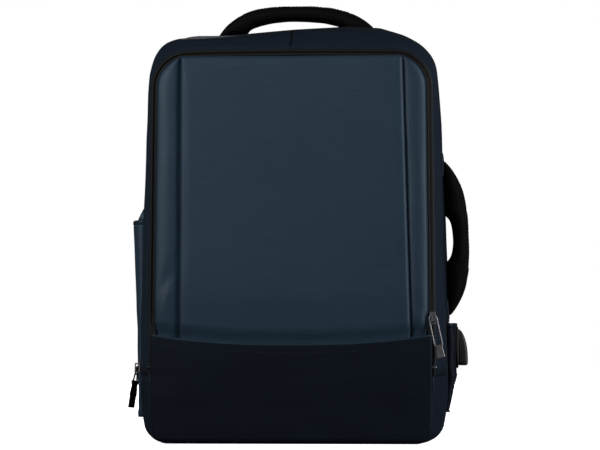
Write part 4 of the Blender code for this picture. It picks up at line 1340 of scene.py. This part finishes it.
def lock_and_webbing(prefix):
    """The ladder lock with the webbing's loop and tail through it, and the webbing down to the corner."""
    repaint(f"{prefix}_ladder_lock", "plastic")
    a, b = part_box(f"{prefix}_ladder_lock")
    x, y, z = (a + b) / 2
    body, tail, lower = f"{prefix}_strap", f"{prefix}_strap_tail", f"{prefix}_lower_webbing"
    tail_line = [(b.y + 0.0010, z + 0.0075), (b.y + 0.0016, z), (b.y + 0.0014, z - 0.013)]
    tail_line += [(b.y + 0.0006, z - 0.036), (b.y - 0.0030, low(tail).z)]
    loop_line = [(b.y + 0.0012, z + 0.0200), (b.y + 0.0008, z + 0.0120), (y, z + 0.0086)]
    loop_line += [(a.y - 0.0010, z + 0.0130), (a.y - 0.0006, z + 0.0200)]
    tail_path = smooth_line([(x, *p) for p in tail_line], 8)
    loop_path = smooth_line([(x, *p) for p in loop_line], 6)
    ribbon_path = even_line(smooth_line(rings_of(lower, 4), 10), 48)
    pieces = (
        (f"{prefix}_tail", tail_path, 0.0242, 0.0015, (body, tail)),
        (f"{prefix}_lock_loop", loop_path, 0.0235, 0.0012, (body,)),
        (f"{lower}_ribbon", ribbon_path, 0.0240, 0.0015, (f"{prefix}_webbing", lower)),
    )
    for name, path, wide, thick, places in pieces:
        ribbon = strap(name, [Vector(p) for p in path], wide, thick, (1, 0, 0), 0.3, 24)
        place(ribbon, "webbing_x", *places)


# ---- charging port


def port():
    a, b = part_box("port_housing")
    middle_y, half = (a.y + b.y) / 2, (b.y - a.y) / 2
    x0, reach = a.x, b.x - a.x
    z0, z1 = a.z, b.z
    socket_low, socket_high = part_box("usb_shell")
    socket = (socket_low + socket_high) / 2
    socket_half = (socket_high - socket_low) / 2 + Vector((0.0003, 0.0003, 0))

    def rectangle(hx, hy, z, power, centre_x):
        middle = Vector((centre_x, middle_y, z))
        return rounded_ring(middle, Vector((hx, 0, 0)), Vector((0, hy, 0)), (power, power), 40)

    rings = []
    for wider, z, power in ((0, z0 + 0.0125, 0.25), (0, z0 + 0.0004, 0.25), (0.0006, z0, 0.3)):
        rings.append(rectangle(socket_half.x + wider, socket_half.y + wider, z, power, socket.x))
    steps = 26
    for k in range(steps + 1):
        t = k / steps
        z = lerp(z0 + 0.0006, z1, t)
        swell = reach * math.sqrt(max(0.0, 1 - max(0.0, (t - 0.12) / 0.90) ** 2.2))
        deep = half * (0.55 + 0.45 * math.sqrt(max(0.0, 1 - (t * 0.97) ** 3)))
        soft = 0.0010 * (1 - ease(t / 0.05))
        rings.append(rectangle(max(0.0006, swell / 2 - soft), deep - soft, z, 0.45, x0 + swell / 2))
    place(loft("port_hood", rings), "rubber", "bag_body", "port_housing")
    plate = []
    for depth, inset in ((-0.0006, 0.0), (0.0008, 0.0), (0.0013, 0.0008), (0.0014, 0.004)):
        middle = Vector((x0 + depth, middle_y, (z0 + z1) / 2))
        half_y, half_z = half + 0.0030 - inset, (z1 - z0) / 2 + 0.0030 - inset
        plate.append(rounded_ring(middle, Vector((0, half_y, 0)), Vector((0, 0, half_z)), (0.4, 0.4), 40))
    place(loft("port_flange", plate), "rubber", "bag_body")
    repaint("usb_shell", "bright_steel")
    repaint("usb_tongue", "plastic")


# ---- zip hardware


def frame_pull(node, body, twist, finish, solid):
    """A cast frame pull with rounded bars and a solid end: its top bar stays in the bail, and it turns a little
    along its length."""
    joint = JOINTS[f"{body}_swing"]
    pivot = Vector(joint["pos_m"])
    corners = [v.co for v in NODES[node].data.vertices]
    foot = min(corners, key=lambda p: p.z)
    far = [p for p in corners if (p - foot).length < 0.0085]
    down = (sum(far, Vector()) / len(far) - pivot).normalized()
    length = max((p - pivot).dot(down) for p in corners)
    across = Vector(joint["axis"]).normalized()
    across = (across - down * across.dot(down)).normalized()
    half = max(abs((p - pivot).dot(across)) for p in corners)
    bar = 0.0009
    edge = half - bar

    def point(along, side):
        turn = Matrix.Rotation(math.radians(twist) * ease((along - 0.004) / 0.012), 3, down)
        return pivot + down * along + (turn @ across) * side

    def width(t):
        shares = (2, 2, 1.5, 1.5, 1.75, 1.75)
        return half * float(np.interp(t, (0, 0.12, 0.20, 0.38, 0.44, 1.0), shares))

    side_bar = [(0.0022, edge), (0.0080, edge), (length - 0.016, edge), (length - 0.0135, edge)]
    other_bar = [(a, -s) for a, s in reversed(side_bar)]
    outline = [(-bar, -half + 0.0022), (-bar, half - 0.0022), *side_bar, *other_bar]
    ring = even_line([point(a, s) for a, s in closed_line(outline)], 90)[:-1]
    cross = [point(0.0072, lerp(-edge, edge, k / 8)) for k in range(9)]
    grip = [point(lerp(length - solid, length - 0.0004, k / 20), 0) for k in range(21)]
    turned = Matrix.Rotation(math.radians(twist), 3, down) @ across
    pieces = [tube(f"{node}_ring", ring, bar, 8, closed=True), tube(f"{node}_cross", cross, bar, 8)]
    pieces.append(strap(f"{node}_end", grip, width, 0.0018, tuple(turned), 0.3, 20))
    place(joined(f"{node}_cast", pieces), finish, body, node)


def hardware():
    frame_pull("front_zip_pull", "front_pull", 0, "gunmetal", 0.0140)
    frame_pull("main_zip_pull", "main_pull", 42, "dark_metal", 0.0300)
    for node in ("front_zip_slider", "main_zip_slider"):
        repaint(node, "gunmetal", 0.00025)
    stop_x, stop_y = high("front_zip_tape_outer").x - 0.0020, low("front_zip_tape_outer").y - 0.0010
    for name, x, finish in (("right", stop_x, "gunmetal"), ("left", -stop_x, "dark_metal")):
        path = [Vector((x - 0.0028 + 0.0056 * k / 8, stop_y, FOLD_Z + 0.0095)) for k in range(9)]
        place(strap(f"zip_end_stop_{name}", path, 0.0026, 0.0020, (0, 0, 1), 0.6, 12), finish, "bag_body")


# ---- inside

INSIDE = {
    "bank_case_front": "plastic",
    "bank_case_back": "plastic",
    "usb_plug": "plastic",
    "base_board": "plastic",
    "battery_cell_1": "cell",
    "battery_cell_2": "cell",
    "charge_board": "circuit_board",
    "power_button": "gunmetal",
    "usb_lead": "rubber",
}


def flat_panel(node, body, edge, crown):
    """A flat CAD node as a padded piece, from the outline of its front face."""
    a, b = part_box(node)
    middle = (a + b) / 2
    front = [v.co for v in NODES[node].data.vertices if v.co.y < middle.y]
    outline = rim_of({(round(p.x, 5), round(p.z, 5)) for p in front}, (middle.x, middle.z))
    place(slab(f"{node}_cloth", outline, a.y, b.y, edge, crown, 12), "lining", body, node)
    return a, b


def inside_panels():
    a, b = flat_panel("laptop_sleeve", "bag_body", 0.0020, (0.0012, 0.0))
    edge = [Vector((x, (a.y + b.y) / 2, b.z)) for x in np.linspace(a.x + 0.018, b.x - 0.018, 40)]
    place(strap("laptop_sleeve_binding", edge, 0.0070, 0.0060, DEPTH, 0.7, 14), "webbing", "bag_body")
    flat_panel("divider", "front_half", 0.0011, (0.0, 0.0008))
    a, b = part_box("front_floor")

    def floor_point(u, v):
        y = lerp(a.y, b.y, v)
        x = u * (between(ARCH, y)[0] - 0.0034)
        return x, y, (a.z + b.z) / 2 + 0.0004 * rumple((x, y, 0), 0.03, 81.0)

    def skirt_point(u, v):
        z = lerp(0.0065, FOLD_Z + 0.0040, v)
        x = u * (side_x(-0.021, z) - 0.0040 - 0.024 * (1 - ease(z / 0.034)))
        return x, -0.0200 + 0.0007 * rumple((x, 0, z), 0.03, 83.0), z

    floor = fabric("front_floor_cloth", grid(12, 49, floor_point), 0.0018, (0, 0, 1), 0.0)
    place(floor, "lining", "front_half", "front_floor")
    skirt = fabric("divider_skirt", grid(20, 59, skirt_point), 0.0010, (0, -1, 0), 0.0)
    bend(skirt, "lining", ("bag_body", "front_half"), 0.012, FOLD_Z + 0.002, y=-0.02)


def open_pocket(node, name, body):
    """A cup-shaped CAD pocket as a thin fabric shell, soft at its corners."""
    a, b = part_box(node)
    middle, half = (a + b) / 2, (b - a) / 2

    def ring(z, inset, sag):
        first, second = Vector((half.x - inset, 0, 0)), Vector((0, half.y - inset, 0))
        points = rounded_ring(Vector((middle.x, middle.y, z)), first, second, (0.35, 0.5), 72)
        for p in points:
            p.y += 0.0003 * rumple(p, 0.02, 90.0)
            p.z -= sag * math.cos(math.pi * (p.x - middle.x) / (2 * half.x))
        return points

    wall = 0.0010
    rings = [ring(lerp(a.z, b.z, k / 12), 0.0, 0.002 * (k == 12)) for k in range(13)]
    rings += [ring(lerp(a.z + wall, b.z, k / 12), wall, 0.002 * (k == 12)) for k in reversed(range(13))]
    place(loft(f"{node}_cloth", rings), name, body, node)


def inside():
    for node, name in INSIDE.items():
        repaint(node, name)
    inside_panels()
    open_pocket("organizer_pocket", "lining", "front_half")
    open_pocket("bank_pocket", "air_mesh", "bag_body")


# ---- lights, floor and camera

AIM = Vector((0.0092, -0.070, 0.2290))
CAMERA_AZIMUTH, CAMERA_ELEVATION, CAMERA_DISTANCE = 2.3, -3.6, 1.75
FRAME_WIDTH = 0.631  # metres across the picture at the aim point
FLOOR_REACH, FLOOR_Z = 3.0, -0.0006
LIGHTS = (  # name, azimuth, elevation, distance, size, power, seen in reflections
    ("front_box", -15, 22, 2.0, (1.4, 0.8), 9.5, True),
    ("left_box", -45, 20, 1.6, (0.5, 1.1), 15.5, True),
    ("right_strip", 65, 10, 1.6, (0.4, 1.4), 26, True),
    ("back_box", 178, 12, 2.0, (1.6, 1.0), 26, False),
    ("back_left_box", -128, 8, 2.0, (0.7, 1.2), 9, False),
    ("back_right_box", 128, 8, 2.0, (0.7, 1.2), 9, False),
)


def stand(name, data, target, azimuth, elevation, distance):
    """Puts a light or camera at a bearing from a point it looks at: azimuth 0 is in front, 90 to its right."""
    obj = link(data, name)
    a, e = math.radians(azimuth), math.radians(elevation)
    out = Vector((math.sin(a) * math.cos(e), -math.cos(a) * math.cos(e), math.sin(e)))
    obj.location = target + out * distance
    obj.rotation_mode = "QUATERNION"
    obj.rotation_quaternion = (-out).to_track_quat("-Z", "Y")
    return obj


def studio():
    for name, azimuth, elevation, distance, size, power, reflected in LIGHTS:
        data = bpy.data.lights.new(name, "AREA")
        data.shape = "RECTANGLE"
        data.size, data.size_y = size
        data.energy = power
        light = stand(name, data, Vector((0, 0, 0.22)), azimuth, elevation, distance)
        light.visible_glossy = reflected
    world = bpy.data.worlds.new("studio")
    bpy.context.scene.world = world
    world.use_nodes = True
    tree = world.node_tree
    tree.nodes.clear()
    seen, lit = tree.nodes.new("ShaderNodeBackground"), tree.nodes.new("ShaderNodeBackground")
    seen.inputs["Color"].default_value = (1, 1, 1, 1)
    lit.inputs["Color"].default_value = (0.025, 0.027, 0.030, 1)
    choice, mix = tree.nodes.new("ShaderNodeLightPath"), tree.nodes.new("ShaderNodeMixShader")
    tree.links.new(choice.outputs["Is Camera Ray"], mix.inputs["Fac"])
    tree.links.new(lit.outputs[0], mix.inputs[1])
    tree.links.new(seen.outputs[0], mix.inputs[2])
    tree.links.new(mix.outputs[0], tree.nodes.new("ShaderNodeOutputWorld").inputs["Surface"])
    mesh = bpy.data.meshes.new("floor")
    signs = ((-1, -1), (1, -1), (1, 1), (-1, 1))
    mesh.from_pydata([(i * FLOOR_REACH, j * FLOOR_REACH, FLOOR_Z) for i, j in signs], [], [(0, 1, 2, 3)])
    floor = link(mesh, "floor")
    white = bpy.data.materials.new("pale_floor")
    white.use_nodes = True
    shader = white.node_tree.nodes["Principled BSDF"]
    shader.inputs["Base Color"].default_value = (0.9, 0.9, 0.9, 1)
    shader.inputs["Roughness"].default_value = 0.9
    shader.inputs["Emission Color"].default_value = (1, 1, 1, 1)
    shader.inputs["Emission Strength"].default_value = 1.0
    mesh.materials.append(white)
    floor.visible_diffuse = False
    floor.visible_glossy = False
    view = bpy.context.scene.view_settings
    view.view_transform = "Standard"
    view.look = "None"


def camera():
    data = bpy.data.cameras.new("camera")
    data.sensor_width = 36.0
    data.lens = data.sensor_width * CAMERA_DISTANCE / FRAME_WIDTH
    data.clip_start, data.clip_end = 0.05, 30
    obj = stand("camera", data, AIM, CAMERA_AZIMUTH, CAMERA_ELEVATION, CAMERA_DISTANCE)
    bpy.context.scene.camera = obj


def main():
    camera()
    studio()
    flap_sheet()
    centre_pad()
    lower_panel()
    front = front_gusset()
    rear = rear_gusset()
    boot()
    zips()
    gusset_seams(front, rear)
    handles()
    pocket("left", -1)
    pocket_bellows()
    pocket("right", 1)
    back_panel()
    back_pad("back_pad_upper")
    back_pad("back_pad_lower")
    luggage_band()
    yoke_and_tabs()
    for prefix, seed in (("left", 70.0), ("right", 72.0)):
        shoulder_strap(prefix, seed)
        lock_and_webbing(prefix)
    port()
    hardware()
    inside()


main()
